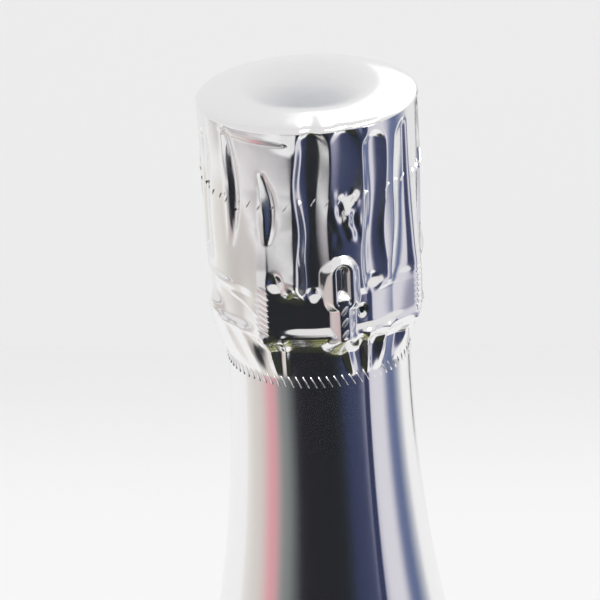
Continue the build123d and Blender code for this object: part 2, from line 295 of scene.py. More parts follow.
def mix_colours(tree, blend, share, first, second):
    """Mixes two colours by the second one's share. A Mix node has its two colours at places 6 and 7."""
    mix = add_node(tree, "ShaderNodeMix", {"data_type": "RGBA", "blend_type": blend, "Factor": share})
    feed(tree, mix.inputs[6], first)
    feed(tree, mix.inputs[7], second)
    return mix.outputs[2]


def mix_shaders(tree, share, first, second):
    """Mixes two shaders by the second one's share."""
    mix = add_node(tree, "ShaderNodeMixShader", {"Fac": share})
    tree.links.new(first, mix.inputs[1])
    tree.links.new(second, mix.inputs[2])
    return mix.outputs["Shader"]


def deselect_all():
    """Leaves edit mode and selects nothing."""
    if bpy.context.object and bpy.context.object.mode != "OBJECT":
        bpy.ops.object.mode_set(mode="OBJECT")
    bpy.ops.object.select_all(action="DESELECT")


def make_active(piece):
    """Selects one piece alone, for the operators that follow."""
    deselect_all()
    piece.select_set(True)
    bpy.context.view_layer.objects.active = piece


def edit_all(piece):
    """Opens a piece for editing, with all of it selected."""
    make_active(piece)
    bpy.ops.object.mode_set(mode="EDIT")
    bpy.ops.mesh.select_all(action="SELECT")


def select_faces(piece, chosen):
    """Selects, in edit mode, the faces for which chosen gives true, one value for each face."""
    make_active(piece)
    bpy.ops.object.mode_set(mode="EDIT")
    bpy.ops.mesh.select_mode(type="FACE")
    bpy.ops.mesh.select_all(action="DESELECT")
    bpy.ops.object.mode_set(mode="OBJECT")
    piece.data.polygons.foreach_set("select", np.asarray(chosen, dtype=bool))
    bpy.ops.object.mode_set(mode="EDIT")


def face_centres(piece):
    """Middle of each face, one row each."""
    centres = np.empty(len(piece.data.polygons) * 3)
    piece.data.polygons.foreach_get("center", centres)
    return centres.reshape(-1, 3)


def point_array(piece):
    """Place of each point, one row each."""
    points = np.empty(len(piece.data.vertices) * 3)
    piece.data.vertices.foreach_get("co", points)
    return points.reshape(-1, 3)


def place_points(piece, points):
    """Moves each point to the place in its row."""
    piece.data.vertices.foreach_set("co", np.ascontiguousarray(points).ravel())
    piece.data.update()


def around(reach, azimuth, height):
    """Rows of x, y and z, from distances to the axis, azimuths and heights."""
    turn = np.radians(azimuth)
    return np.stack((reach * np.sin(turn), -reach * np.cos(turn), height), axis=1)


def at_azimuth(points, azimuth):
    """Turns points (out, aside, up) to their place round the bottle."""
    turn = math.radians(azimuth)
    return [
        (
            out * math.sin(turn) + aside * math.cos(turn),
            -out * math.cos(turn) + aside * math.sin(turn),
            up,
        )
        for out, aside, up in points
    ]


def azimuth_of(points):
    """Degrees round the bottle from the front towards +X, between -180 and 180."""
    return np.degrees(np.arctan2(points[:, 0], -points[:, 1]))


def turned_to(angle, centre):
    """Difference between an angle and a centre, in degrees between -180 and 180."""
    return (angle - centre + 180) % 360 - 180


def from_leg(azimuth):
    """Difference to the azimuth of the nearest leg, in degrees between -45 and 45."""
    return (azimuth - LEG_ANGLE + LEG_APART / 2) % LEG_APART - LEG_APART / 2


def finish_piece(piece, material, body, slot, *nodes, angle=35):
    """Smooths a piece up to an angle, gives it its material and its body, and hides the nodes it stands for.
    """
    make_active(piece)
    bpy.ops.object.shade_smooth_by_angle(angle=math.radians(angle))
    piece.data.materials.clear()
    piece.data.materials.append(material)
    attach(piece, body)
    if nodes:
        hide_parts(*nodes)


# The foil: one sheet rolled round the neck, pressed over what lies under it, and torn at two lines

def in_metres(angles, rows):
    """Rows of which so many numbers, the first ones, are angles in degrees, and the others lengths in mm."""
    return [(*row[:angles], *(length * MM for length in row[angles:])) for row in rows]


# Folds pressed in under the rim, as the photograph shows them in front, and alike at the back: azimuth at
# the upper and at the lower end, width to the left and to the right, depth, upper and lower end
FOLDS = in_metres(4, (
    (-0.2, -1.0, 8.4, 8.6, 0.95, 319.2, 290.6),
    (18.2, 17.0, 8.8, 8.6, 0.5, 319.1, 306.0),
    (33.5, 31.0, 6.0, 8.0, 0.75, 317.6, 291.5),
    (56.0, 52.0, 8.0, 7.5, 0.5, 317.5, 291.0),
    (-73.0, -75.0, 5.0, 8.0, 0.5, 316.0, 294.0),
    (-92.0, -89.0, 8.0, 6.0, 1.0, 318.0, 291.0),
    (-113.0, -116.0, 6.0, 5.0, 0.5, 313.0, 299.0),
    (-137.0, -140.0, 8.0, 9.0, 1.3, 318.4, 291.0),
    (-157.0, -155.0, 7.0, 8.0, 1.1, 318.0, 291.0),
    (-175.0, -178.0, 6.0, 8.0, 0.9, 317.4, 293.0),
    (168.0, 165.0, 7.0, 6.0, 1.2, 318.5, 291.0),
    (146.0, 148.0, 4.0, 7.0, 0.6, 314.0, 300.0),
    (126.0, 128.0, 9.0, 8.0, 1.4, 318.3, 290.8),
    (104.0, 102.0, 8.0, 9.0, 1.3, 318.5, 291.0),
))
# Creases, where the foil steps in towards the right: azimuth at the upper and at the lower end, how far the
# middle bows to the right, half width, step, upper and lower end
CREASES = in_metres(4, (
    (-50.0, -49.0, 4.0, 3.0, 1.25, 319.5, 298.5),
    (-26.5, -24.5, 2.0, 3.0, 0.95, 312.0, 300.5),
    (77.5, 76.5, -1.5, 1.5, -0.75, 319.0, 290.0),
    (-104.0, -102.0, 3.0, 3.4, -0.9, 317.0, 296.0),
    (-149.0, -147.0, -2.5, 3.0, 0.9, 316.0, 297.0),
    (156.5, 159.0, 2.5, 3.2, 0.8, 316.5, 296.0),
    (115.0, 112.0, 2.0, 2.8, -0.9, 317.0, 295.0),
))
# Ledges where a layer ends: azimuth at the left and right end, height there, and how far it stands out
LAPS = in_metres(2, (
    (-50.0, -12.0, 317.6, 316.8, 0.2),
    (-80.0, -33.0, 292.6, 288.4, 0.3),
    (96.0, 140.0, 290.0, 294.0, 0.3),
))
# Bumps and dents that stand alone: azimuth, half width, height, half height, and how far they stand out
BUMPS = in_metres(2, (
    (-72.0, 12.0, 286.4, 2.6, 1.0),
    (-60.0, 14.0, 291.8, 1.6, 0.4),
    (80.0, 9.0, 293.6, 3.2, 0.5),
    (-21.0, 5.0, 294.2, 1.9, -0.75),
    (-15.5, 4.0, 292.6, 1.4, 0.35),
    (31.0, 6.0, 292.6, 2.0, -0.45),
    (24.5, 3.5, 288.2, 1.5, -0.5),
    (-2.0, 3.5, 291.6, 1.3, -0.35),
    (112.0, 8.0, 294.0, 2.6, -0.5),
    (-104.0, 6.0, 293.0, 2.2, 0.4),
    (-150.0, 8.0, 289.0, 2.0, -0.4),
    (178.0, 7.0, 293.0, 2.6, 0.45),
    (140.0, 9.0, 287.0, 2.2, 0.4),
))
# Pleats under the belt, where the foil runs in to the neck: azimuth at the belt and at the lower tear
# line, half width, and how far they stand out in the middle
PLEATS = in_metres(3, (
    (-84.0, -72.0, 9.0, 1.1),
    (-62.0, -52.0, 7.0, 1.0),
    (-46.0, -38.0, 5.0, 0.8),
    (-29.0, -27.0, 4.0, 0.8),
    (-19.0, -21.0, 3.0, 0.45),
    (13.0, 20.0, 4.0, 0.6),
    (27.0, 29.0, 4.0, 0.9),
    (41.0, 36.0, 6.0, 0.9),
    (60.0, 54.0, 6.0, 1.0),
    (79.0, 84.0, 8.0, 1.0),
    (101.0, 96.0, 6.0, 0.8),
    (119.0, 122.0, 7.0, 1.0),
    (152.0, 147.0, 6.0, 1.0),
    (171.0, 174.0, 7.0, 0.8),
    (-163.0, -158.0, 6.0, 0.9),
    (-141.0, -146.0, 5.0, 0.7),
    (-118.0, -116.0, 6.0, 1.0),
    (-101.0, -104.0, 5.0, 0.7),
))
# A fold's middle starts this far above its sides, and it starts and ends over these heights
ARCH_DROP = 1.7 * MM
FOLD_START = 1.3 * MM
FOLD_END = 2.6 * MM
# How far a fold sways, in degrees, and by which share of its width it swells
SWAY = 0.75
SWELL_SHARE = 0.13

# Heights, and distances of the foil from the axis there: between the wires, and over them
DRAPE = in_metres(0, (
    (276.0, 14.85, 14.85),
    (281.4, 15.1, 15.7),
    (282.7, 15.6, 16.8),
    (283.6, 16.6, 17.7),
    (284.5, 17.1, 18.1),
    (285.3, 16.95, 18.3),
    (286.1, 16.65, 18.5),
    (290.8, 16.7, 18.55),
    (292.2, 17.0, 18.45),
    (296.0, 17.15, 18.1),
    (303.0, 17.2, 17.7),
    (309.0, 17.25, 17.45),
    (316.0, 17.28, 17.35),
    (318.0, 17.3, 17.3),
))


def smooth_noise(azimuth, height, across, up, seed):
    """Gentle lumps, mostly between -1 and 1, that repeat after a full turn: a sum of waves. The seed sets
    their phases."""
    turn = np.radians(azimuth)
    total = np.zeros_like(turn)
    generator = np.random.default_rng(seed)
    waves = 14
    for _ in range(waves):
        round_count = generator.integers(across // 3, across)
        rise = generator.uniform(-up, up)
        phase = generator.uniform(0, 2 * math.pi)
        total += np.sin(round_count * turn + rise * height / MM + phase)
    return total / math.sqrt(waves)


def neck_reach(height):
    """Distance of the glass from the axis, on the neck and where it swells towards the shoulder."""
    below = np.clip(SWELL_START - height, 0, None)
    return NECK_RADIUS + SWELL_RADIUS - np.sqrt(SWELL_RADIUS**2 - below**2)


def fold_depth(azimuth, height):
    """How far the folds under the rim are pressed in. They sway, and swell over the upper tear line."""
    pressed = np.zeros_like(azimuth)
    waist = HOOD_TOP - 13.5 * MM
    long_wave = 3.7 * MM
    short_wave = 2.5 * MM
    swell_wave = 3.1 * MM
    for number, (upper_angle, lower_angle, left, right, depth, upper, lower) in enumerate(FOLDS):
        share = np.clip((upper - height) / (upper - lower), 0, 1)
        sway = np.sin((height - waist) / long_wave) + 0.8 * np.sin(height / short_wave + 2.4 * number)
        centre = upper_angle + share * (lower_angle - upper_angle) + SWAY * sway
        off = turned_to(azimuth, centre)
        swell = 1 + SWELL_SHARE * np.cos((height - waist - 6 * MM) / swell_wave)
        off = np.where(off < 0, off / left, off / right) / swell
        arch = upper - ARCH_DROP * off**2
        shape = np.clip(1 - off**2, 0, 1) ** 1.15
        start = np.sin(math.pi / 2 * np.clip((arch - height) / FOLD_START, 0, 1))
        shape = shape * start * smooth_step(0, FOLD_END, height - lower)
        pressed = np.maximum(pressed, shape * depth)
    return pressed


def crease_relief(azimuth, height):
    """Steps that swell from nothing to their full width and die out again, and fade to both sides."""
    total = np.zeros_like(azimuth)
    for upper_angle, lower_angle, bow, half_width, step, upper, lower in CREASES:
        share = np.clip((upper - height) / (upper - lower), 0, 1)
        swell = np.sin(math.pi * share)
        centre = upper_angle + share * (lower_angle - upper_angle) + bow * swell
        off = turned_to(azimuth, centre) / (half_width * (0.45 + 0.55 * swell))
        total -= 1.17 * step * swell**0.8 * off * np.exp(-(off**2))
    return total


def lap_relief(azimuth, height):
    """Where one layer ends on another: a small ledge along a slanting line, which fades upwards."""
    total = np.zeros_like(azimuth)
    soft = 0.22 * MM
    run_out = 3 * MM
    for left, right, left_level, right_level, ledge in LAPS:
        over = height - left_level - (right_level - left_level) * (azimuth - left) / (right - left)
        lip = smooth_step(-soft, soft, over) * np.exp(-np.clip(over, 0, None) / run_out)
        ledges = ledge * lip * smooth_step(left - 5, left + 2, azimuth)
        total += ledges * smooth_step(right + 3, right - 3, azimuth)
    return total


def panel_relief(azimuth, height):
    """Right of the front leg the foil rises to a crest beside the first fold."""
    wave = np.sin((height - 305.5 * MM) / (2.3 * MM)) * smooth_step(296 * MM, 302 * MM, height)
    crest = -9.2 - 1.3 * wave
    start = 2.5
    crest_height = 0.55 * MM
    along = np.clip((azimuth - LEG_ANGLE - start) / (crest - LEG_ANGLE - start), 0, 1) ** 1.2
    rise = crest_height * along * smooth_step(crest + 3.6, crest, azimuth)
    return rise * smooth_step(319 * MM, 315 * MM, height) * smooth_step(289.5 * MM, 293 * MM, height)


def bump_relief(azimuth, height):
    """The bumps and dents that stand alone."""
    total = np.zeros_like(azimuth)
    for centre, half_width, level, half_height, lift in BUMPS:
        off = np.hypot(turned_to(azimuth, centre) / half_width, (height - level) / half_height)
        total += lift * np.clip(1 - off**2, 0, 1) ** 2
    return total


def pleat_relief(azimuth, height):
    """Folds that run down from the belt and die out at the lower tear line."""
    upper = BELT_LEVEL + 0.7 * MM
    lower = LOWER_TEAR + 1.0 * MM
    share = np.clip((upper - height) / (upper - lower), 0, 1)
    total = np.zeros_like(azimuth)
    for upper_angle, lower_angle, half_width, lift in PLEATS:
        off = turned_to(azimuth, upper_angle + share * (lower_angle - upper_angle)) / half_width
        total = np.maximum(total, lift * np.clip(1 - np.abs(off), 0, 1) ** 1.3)
    return total * np.sin(math.pi * share**0.8) ** 0.9


def smooth_maximum(first, second, width):
    """The larger of two, with the corner between them rounded over a width."""
    near = np.clip(width - np.abs(first - second), 0, None) / width
    return np.maximum(first, second) + near**2 * width / 4


def over_key(azimuth, height):
    """Distance from the axis of foil that lies on the folded-up key: over its loop, stem and root."""
    clearance = 0.22 * MM
    root_height = 0.95 * MM
    soft = 0.25 * MM
    across = np.abs(np.radians(turned_to(azimuth, KEY_ANGLE))) * KEY_RADIUS
    loop_bottom = BELT_LEVEL + 6.6 * MM
    loop_top = KEY_TOP - WIRE - KEY_LOOP
    beyond = np.clip(height - loop_top, 0, None) + np.clip(loop_bottom - height, 0, None)
    from_loop = np.abs(np.hypot(across, beyond) - KEY_LOOP)
    from_stem = np.hypot(np.clip(across - WIRE, 0, None), np.clip(height - loop_bottom, 0, None))
    from_stem = np.hypot(from_stem, np.clip(BELT_LEVEL - height, 0, None))
    distance = np.minimum(from_loop, from_stem)
    steep = 1.1 + 0.8 * smooth_step(loop_top - 0.5 * MM, loop_top + KEY_LOOP, height)
    foil = KEY_RADIUS + WIRE + clearance - steep * np.clip(distance - soft, 0, None)
    from_root = np.hypot(across / 1.35, height - BELT_LEVEL)
    return smooth_maximum(foil, KEY_RADIUS + root_height - 0.9 * from_root, soft)


def leg_tent(azimuth, height):
    """How much the foil stands out over the legs, from 0 to 1: like tents with hollow sides."""
    ridge = 2.5
    slope = 15.0
    off = np.abs(from_leg(azimuth))
    tent = np.where(off < ridge, 1.0, np.clip(1 - (off - ridge) / slope, 0, 1) ** 1.7)
    # right of the front leg the foil is drawn flat to the ridge beside the first fold
    panel = np.clip((azimuth - LEG_ANGLE) / 16.5, 0, 1)
    flat = np.where((azimuth > LEG_ANGLE) & (azimuth < -5.0), 1 - 0.25 * np.sin(math.pi * panel), 0)
    flat = flat * smooth_step(-5.0, -11.0, azimuth) * smooth_step(291.5 * MM, 294.5 * MM, height)
    return np.maximum(tent, flat)


def foil_reach(azimuth, height, settings):
    """Distance of the foil's outer face from the axis."""
    azimuth = (azimuth + 180) % 360 - 180
    levels = np.array([row[0] for row in DRAPE])
    between = np.interp(height, levels, [row[1] for row in DRAPE])
    over_leg = np.interp(height, levels, [row[2] for row in DRAPE])
    on_neck = neck_reach(height) + 0.25 * MM
    low = height < levels[0]
    between = np.where(low, on_neck, between)
    over_leg = np.where(low, on_neck, over_leg)
    reach = between + leg_tent(azimuth, height) * (over_leg - between)

    # the two strands of each leg show through where the foil lies tight on them, over the ring
    rib_spacing = 0.95 * MM
    rib_slant = 5.5
    rib_depth = 0.24 * MM
    slant = from_leg(azimuth)
    tight = smooth_step(284.5 * MM, 286 * MM, height) * smooth_step(293.5 * MM, 291.5 * MM, height)
    ribs = np.cos(2 * math.pi * (height / rib_spacing + slant / rib_slant))
    reach += tight * smooth_step(4.6, 1.6, np.abs(slant)) * rib_depth * (ribs - 1) / 2

    # it lies on the legs, so the folds are pressed in between them only
    clear = smooth_step(3.0, 6.5, np.abs(slant))
    reach -= clear * fold_depth(azimuth, height) * settings.flute_depth
    reach += crease_relief(azimuth, height) * settings.flute_depth
    reach += panel_relief(azimuth, height) * settings.flute_depth
    reach += lap_relief(azimuth, height)
    reach += bump_relief(azimuth, height)
    # left of the front leg it hangs straighter from the belt to the neck
    straight = np.interp(height, (276.2 * MM, 284.6 * MM), (14.85 * MM, 17.05 * MM))
    hangs = 1 - smooth_step(-40, -31, azimuth)
    hangs *= smooth_step(276.0 * MM, 276.6 * MM, height) * (1 - smooth_step(284.4 * MM, 285.0 * MM, height))
    reach += hangs * np.clip(straight - reach, 0, None)
    reach += pleat_relief(azimuth, height) * (1 - 0.5 * hangs)
    reach = smooth_maximum(reach, over_key(azimuth, height), 0.3 * MM)

    # the hood is never quite even, and is crumpled above the key
    crumple = 0.26 * MM
    on_neck_crumple = 0.012 * MM
    loose = smooth_step(281 * MM, 290 * MM, height)
    reach += loose * settings.crumple_depth * smooth_noise(azimuth, height, 12, 0.35, 3)
    reach += loose * 0.12 * settings.crumple_depth * smooth_noise(azimuth, height, 34, 0.9, 8)
    off = turned_to(azimuth, 16.0) / 9.0
    crumpled = np.clip(1 - off**2, 0, 1) * smooth_step(299 * MM, 301.5 * MM, height)
    crumpled = crumpled * smooth_step(309.5 * MM, 307 * MM, height)
    reach += crumpled * crumple * smooth_noise(azimuth, height, 55, 1.6, 21)
    on_sleeve = smooth_step(281 * MM, 276 * MM, height)
    reach += on_sleeve * on_neck_crumple * smooth_noise(azimuth, height, 12, 0.12, 5)
    return reach


def roll_foil(settings):
    """Rolls a flat grid round the bottle with a short overlap, and lays it on what is under it. Its faces
    are smaller in front and over the glass ring, where the relief is finest."""
    crown_rows = 160
    sleeve_rows = 60
    rows = crown_rows + sleeve_rows
    deselect_all()
    bpy.ops.mesh.primitive_grid_add(
        x_subdivisions=settings.columns, y_subdivisions=rows, size=1, location=(0, 0, 0)
    )
    sheet = bpy.context.object
    flat = point_array(sheet)
    across = flat[:, 0] + 0.5
    up = flat[:, 1] + 0.5
    overlap = 11.0
    lap_height = 0.16 * MM
    seam = settings.seam_angle
    # from azimuth 62 round the back to 318 the faces are wider
    azimuth = np.interp(across, (0, 0.16, 0.58, 1), (seam, 62, 318, seam + 360 + overlap))
    split = sleeve_rows / rows
    fine_from = RING_BOTTOM - 3 * MM
    fine_to = RING_TOP + 3 * MM
    above = 1 - split
    height = np.interp(
        up,
        (0, split * 0.75, split, split + 0.15 * above, split + 0.54 * above, 1),
        (SLEEVE_END, 262 * MM, LOWER_TEAR, fine_from, fine_to, CROWN_TOP),
    )
    reach = foil_reach(azimuth, height, settings)
    doubled = smooth_step(358, 361, azimuth - seam)
    reach += doubled * lap_height
    place_points(sheet, around(reach, azimuth, height))
    return sheet


def split_off(sheet, chosen, name):
    """Parts the chosen faces from the sheet, as a piece of their own."""
    select_faces(sheet, chosen)
    bpy.ops.mesh.separate(type="SELECTED")
    bpy.ops.object.mode_set(mode="OBJECT")
    others = [piece for piece in bpy.context.selected_objects if piece is not sheet]
    if len(others) != 1:
        raise RuntimeError(f"{name} didn't come off the sheet")
    others[0].name = name
    return others[0]


def above_upper_tear(points, settings):
    """Height over the leaning upper tear line."""
    lean = math.tan(math.radians(settings.tear_tilt))
    return points[:, 2] - UPPER_TEAR - points[:, 0] * lean


def cut_sheet(sheet, settings):
    """Cuts the sheet at its two tear lines and round the key."""
    edit_all(sheet)
    lean = math.radians(settings.tear_tilt)
    bpy.ops.mesh.bisect(plane_co=(0, 0, UPPER_TEAR), plane_no=(-math.sin(lean), 0, math.cos(lean)))
    bpy.ops.object.mode_set(mode="OBJECT")
    centres = face_centres(sheet)
    crown = split_off(sheet, above_upper_tear(centres, settings) > 0, "hood_crown_foil")
    centres = face_centres(sheet)
    sleeve = split_off(sheet, centres[:, 2] < LOWER_TEAR, "neck_sleeve_foil")
    centres = face_centres(sheet)
    half_flap = 2.6 * MM
    across = np.radians(turned_to(azimuth_of(centres), KEY_ANGLE)) * KEY_RADIUS
    # the flap ends just under the key's hinge, so that it clears the belt when it folds out
    above_hinge = centres[:, 2] > BELT_LEVEL - 0.35 * MM
    on_key = (np.abs(across) < half_flap) & above_hinge & (centres[:, 2] < FLAP_TOP)
    flap = split_off(sheet, on_key, "key_flap_foil")
    sheet.name = "tear_band_foil"
    return crown, sheet, flap, sleeve


def thicken(piece, thickness):
    """Gives a sheet its thickness, inwards."""
    make_active(piece)
    solidify = piece.modifiers.new("Thickness", "SOLIDIFY")
    solidify.thickness = thickness
    solidify.offset = -1
    bpy.ops.object.modifier_apply(modifier=solidify.name)


def finish_foil(piece, body, *nodes):
    """Finishes a piece of the hood in silver foil."""
    finish_piece(piece, silver_foil(), body, "silver_foil", *nodes, angle=55)


def silver_foil():
    """Bright rolled aluminium foil, embossed very finely: mirror-like, with a soft grain in its gloss."""
    name = "silver_foil_rolled"
    if name in bpy.data.materials:
        return bpy.data.materials[name]
    tint = shown_colour(bpy.context.scene.foil_settings.colour)
    material, tree, shader = new_material(name, {"Metallic": 1.0, "Base Color": tint})
    place = object_place(tree)
    # rolling grain just under 1 mm long, which softens the mirror unevenly
    grain = add_noise(tree, place, 0.9 * MM, detail=3.0, roughness=0.6)
    vary_roughness(tree, shader, grain, smooth=0.14, rough=0.17, low=0.3, high=0.7)
    # handling creases about 3 mm apart
    crease = add_noise(tree, place, 3.2 * MM, detail=1.0, roughness=0.4)
    add_bump(tree, shader, crease, strength=0.06, distance=0.1 * MM)
    return material


class BOTTLE_OT_foil_hood(bpy.types.Operator):
    """Rolls, drapes and tears the foil, and gives each part to what it moves with"""

    bl_idname = "bottle.foil_hood"
    bl_label = "Foil hood"

    def execute(self, context):
        settings = context.scene.foil_settings
        sheet = roll_foil(settings)
        edit_all(sheet)
        bpy.ops.mesh.vertices_smooth(factor=0.4, repeat=1)
        bpy.ops.object.mode_set(mode="OBJECT")
        crown, band, flap, sleeve = cut_sheet(sheet, settings)
        for piece in (crown, band, flap, sleeve):
            thicken(piece, settings.thickness)
        finish_foil(crown, "foil_hood", "foil_crown")
        finish_foil(band, "foil_hood", "foil_tear_band")
        finish_foil(flap, "key", "foil_key_flap")
        finish_foil(sleeve, "bottle", "foil_neck_sleeve")
        return {"FINISHED"}


def turn_profile(name, profile, sides):
    """Turns a profile of (radius, height) points round the bottle's axis, closed where it meets the axis."""
    deselect_all()
    radius, height = profile[0]
    bpy.ops.mesh.primitive_plane_add(size=MM, location=(radius, 0, height))
    piece = bpy.context.object
    piece.name = name
    bpy.ops.object.transform_apply(location=True, rotation=False, scale=False)
    bpy.ops.object.mode_set(mode="EDIT")
    bpy.ops.mesh.select_mode(type="VERT")
    bpy.ops.mesh.select_all(action="SELECT")
    bpy.ops.mesh.merge(type="CENTER")
    for (near, low), (far, high) in zip(profile[:-1], profile[1:]):
        step = (far - near, 0, high - low)
        bpy.ops.mesh.extrude_region_move(TRANSFORM_OT_translate={"value": step})
    bpy.ops.mesh.select_all(action="SELECT")
    bpy.ops.mesh.spin(steps=sides, angle=2 * math.pi, center=(0, 0, 0), axis=(0, 0, 1))
    bpy.ops.mesh.select_all(action="SELECT")
    bpy.ops.mesh.remove_doubles(threshold=0.002 * MM)
    bpy.ops.mesh.normals_make_consistent(inside=False)
    bpy.ops.object.mode_set(mode="OBJECT")
    return piece


def build_head_disc():
    """The pressed top of the hood: flat over the plaque, with a rolled shoulder down to the rim."""
    radii = (0, 1.5, 3, 4.5, 6, 7.5, 9, 10)
    rings = [(radius, 0.0009 * radius**2) for radius in radii]
    rings += [(11, 0.12), (12, 0.18), (13, 0.28), (14, 0.44), (14.9, 0.63), (15.6, 0.81), (16.2, 0.99)]
    rings += [(16.6, 1.14), (16.9, 1.29), (17.1, 1.44), (17.22, 1.6), (17.29, 1.78), (17.3, 1.98)]
    profile = [(radius * MM, HOOD_TOP - (0.04 + drop) * MM) for radius, drop in rings]
    return turn_profile("head_disc_foil", profile, 240)


def press_disc(disc, settings):
    """Presses the plaque's rim lightly through the disc, and lays its edge on the crown."""
    points = point_array(disc)
    reach = np.hypot(points[:, 0], points[:, 1])
    azimuth = azimuth_of(points)
    uneven = smooth_noise(azimuth, reach * 3, 7, 0.4, 11)
    unevenness = 0.002 * MM
    rim_groove = 0.06 * MM
    points[:, 2] += unevenness * uneven * smooth_step(0, 6 * MM, reach)
    points[:, 2] -= rim_groove * np.exp(-((reach - 13.9 * MM) / (1.0 * MM)) ** 2)
    # two thumb dents in the shoulder, in front
    for centre, depth in ((4.0, 0.13 * MM), (31.0, 0.1 * MM)):
        off = np.hypot(turned_to(azimuth, centre) / 9.0, (reach - 14.9 * MM) / (1.1 * MM))
        points[:, 2] -= depth * np.exp(-(off**2))
    on_crown = foil_reach(azimuth, np.full_like(reach, CROWN_TOP), settings) - CROWN_RADIUS
    share = 1 + smooth_step(12 * MM, 17.2 * MM, reach) * on_crown / np.maximum(reach, MM)
    points[:, 0] *= share
    points[:, 1] *= share
    place_points(disc, points)


def cut_slits(name, settings, radius, level, tilt, spacing, length, width, lean):
    """The raised lips of the slits along a tear line: one is modelled, and copied round the foil."""
    thickness = 0.28 * MM
    stands_out = 0.02 * MM
    deselect_all()
    bpy.ops.mesh.primitive_cube_add(size=1)
    slit = bpy.context.object
    edit_all(slit)
    bpy.ops.transform.resize(value=(width, thickness, length))
    bpy.ops.mesh.bevel(offset=0.12 * MM, segments=1)
    bpy.ops.object.mode_set(mode="OBJECT")
    shape = point_array(slit)
    shape[:, 0] *= 1 - 0.6 * np.abs(shape[:, 2] / length * 2) ** 2
    shape[:, 0] += shape[:, 2] * lean
    count = round(2 * math.pi * radius / spacing)
    copies = []
    for number in range(count):
        azimuth = 360 * number / count - 180
        height = level + radius * math.sin(math.radians(azimuth)) * tilt
        lie = foil_reach(np.full(1, azimuth), np.full(1, height), settings)[0]
        placed = np.stack((lie + stands_out - shape[:, 1], shape[:, 0], shape[:, 2] + height), axis=1)
        copy = slit.copy()
        copy.data = slit.data.copy()
        bpy.context.collection.objects.link(copy)
        place_points(copy, at_azimuth(placed, azimuth))
        copies.append(copy)
    deselect_all()
    for copy in copies:
        copy.select_set(True)
    bpy.context.view_layer.objects.active = copies[0]
    bpy.ops.object.join()
    bpy.data.objects.remove(slit)
    joined = bpy.context.object
    joined.name = name
    return joined


class BOTTLE_OT_tear_slits(bpy.types.Operator):
    """Cuts the slanting slits of the two tear lines"""

    bl_idname = "bottle.tear_slits"
    bl_label = "Tear slits"

    def execute(self, context):
        settings = context.scene.foil_settings
        tilt = math.tan(math.radians(settings.tear_tilt))
        lower = cut_slits(
            "lower_tear_slits", settings, NECK_RADIUS, LOWER_TEAR + 0.35 * MM, 0.0,
            spacing=1.2 * MM, length=2.0 * MM, width=0.46 * MM, lean=-0.5,
        )
        finish_foil(lower, "bottle")
        upper = cut_slits(
            "upper_tear_slits", settings, HOOD_RADIUS, UPPER_TEAR + 0.6 * MM, tilt,
            spacing=2.1 * MM, length=1.25 * MM, width=0.36 * MM, lean=0.6,
        )
        finish_foil(upper, "foil_hood")
        return {"FINISHED"}


class BOTTLE_OT_head_disc(bpy.types.Operator):
    """Presses the flat top of the foil hood over the plaque and the wires"""

    bl_idname = "bottle.head_disc"
    bl_label = "Head disc"

    def execute(self, context):
        settings = context.scene.foil_settings
        disc = build_head_disc()
        press_disc(disc, settings)
        thicken(disc, settings.thickness)
        finish_foil(disc, "foil_hood", "foil_head_disc")
        return {"FINISHED"}


# Glass and wine

def side_of_bottle(low_radius, high_radius, hollow_radius, steps):
    """Outline from the end of the straight body to the start of the straight neck: two tangent arcs."""
    step = low_radius - high_radius
    rise = SWELL_START - SHOULDER_START
    both = (rise**2 + step**2) / (2 * step)
    full_radius = both - hollow_radius
    lean = math.asin(rise / both)
    outline = []
    for number in range(steps + 1):
        turn = lean * number / steps
        reach = low_radius - full_radius * (1 - math.cos(turn))
        outline.append((reach, SHOULDER_START + full_radius * math.sin(turn)))
    for number in range(1, steps + 1):
        turn = lean * (1 - number / steps)
        reach = high_radius + hollow_radius * (1 - math.cos(turn))
        outline.append((reach, SWELL_START - hollow_radius * math.sin(turn)))
    return outline


def punt_outline(edge, peak, foot, steps):
    """Outline of the punt, from its top on the axis out and down to its edge: a curve with two handles."""
    rise = peak - foot
    handles = ((0, peak), (0.62 * edge, peak), (0.86 * edge, foot + 0.45 * rise), (edge, foot))
    outline = []
    for number in range(steps + 1):
        share = number / steps
        weights = ((1 - share) ** 3, 3 * (1 - share) ** 2 * share, 3 * (1 - share) * share**2, share**3)
        reach, height = (
            sum(weight * handle[axis] for weight, handle in zip(weights, handles)) for axis in (0, 1)
        )
        outline.append((reach, height))
    return outline


def rounded_corner(centre, radius, first_angle, last_angle, steps):
    """Outline of an arc round a centre, with its angles in degrees."""
    outline = []
    for number in range(steps + 1):
        turn = math.radians(first_angle + (last_angle - first_angle) * number / steps)
        outline.append((centre[0] + radius * math.cos(turn), centre[1] + radius * math.sin(turn)))
    return outline


def cavity_outline(gap):
    """Outline of the space inside the glass, from the top of the floor out and up to the neck's bore."""
    wall = BODY_RADIUS - WALL - gap
    floor = BASE_THICKNESS + gap
    outline = punt_outline(BODY_RADIUS - WALL - TROUGH, PUNT_HEIGHT + BASE_THICKNESS + gap, floor, 18)
    outline += rounded_corner((wall - TROUGH, floor + TROUGH), TROUGH, -75, 0, 5)
    outline += side_of_bottle(wall, BORE_RADIUS - gap, SWELL_RADIUS - WALL, 22)
    return outline


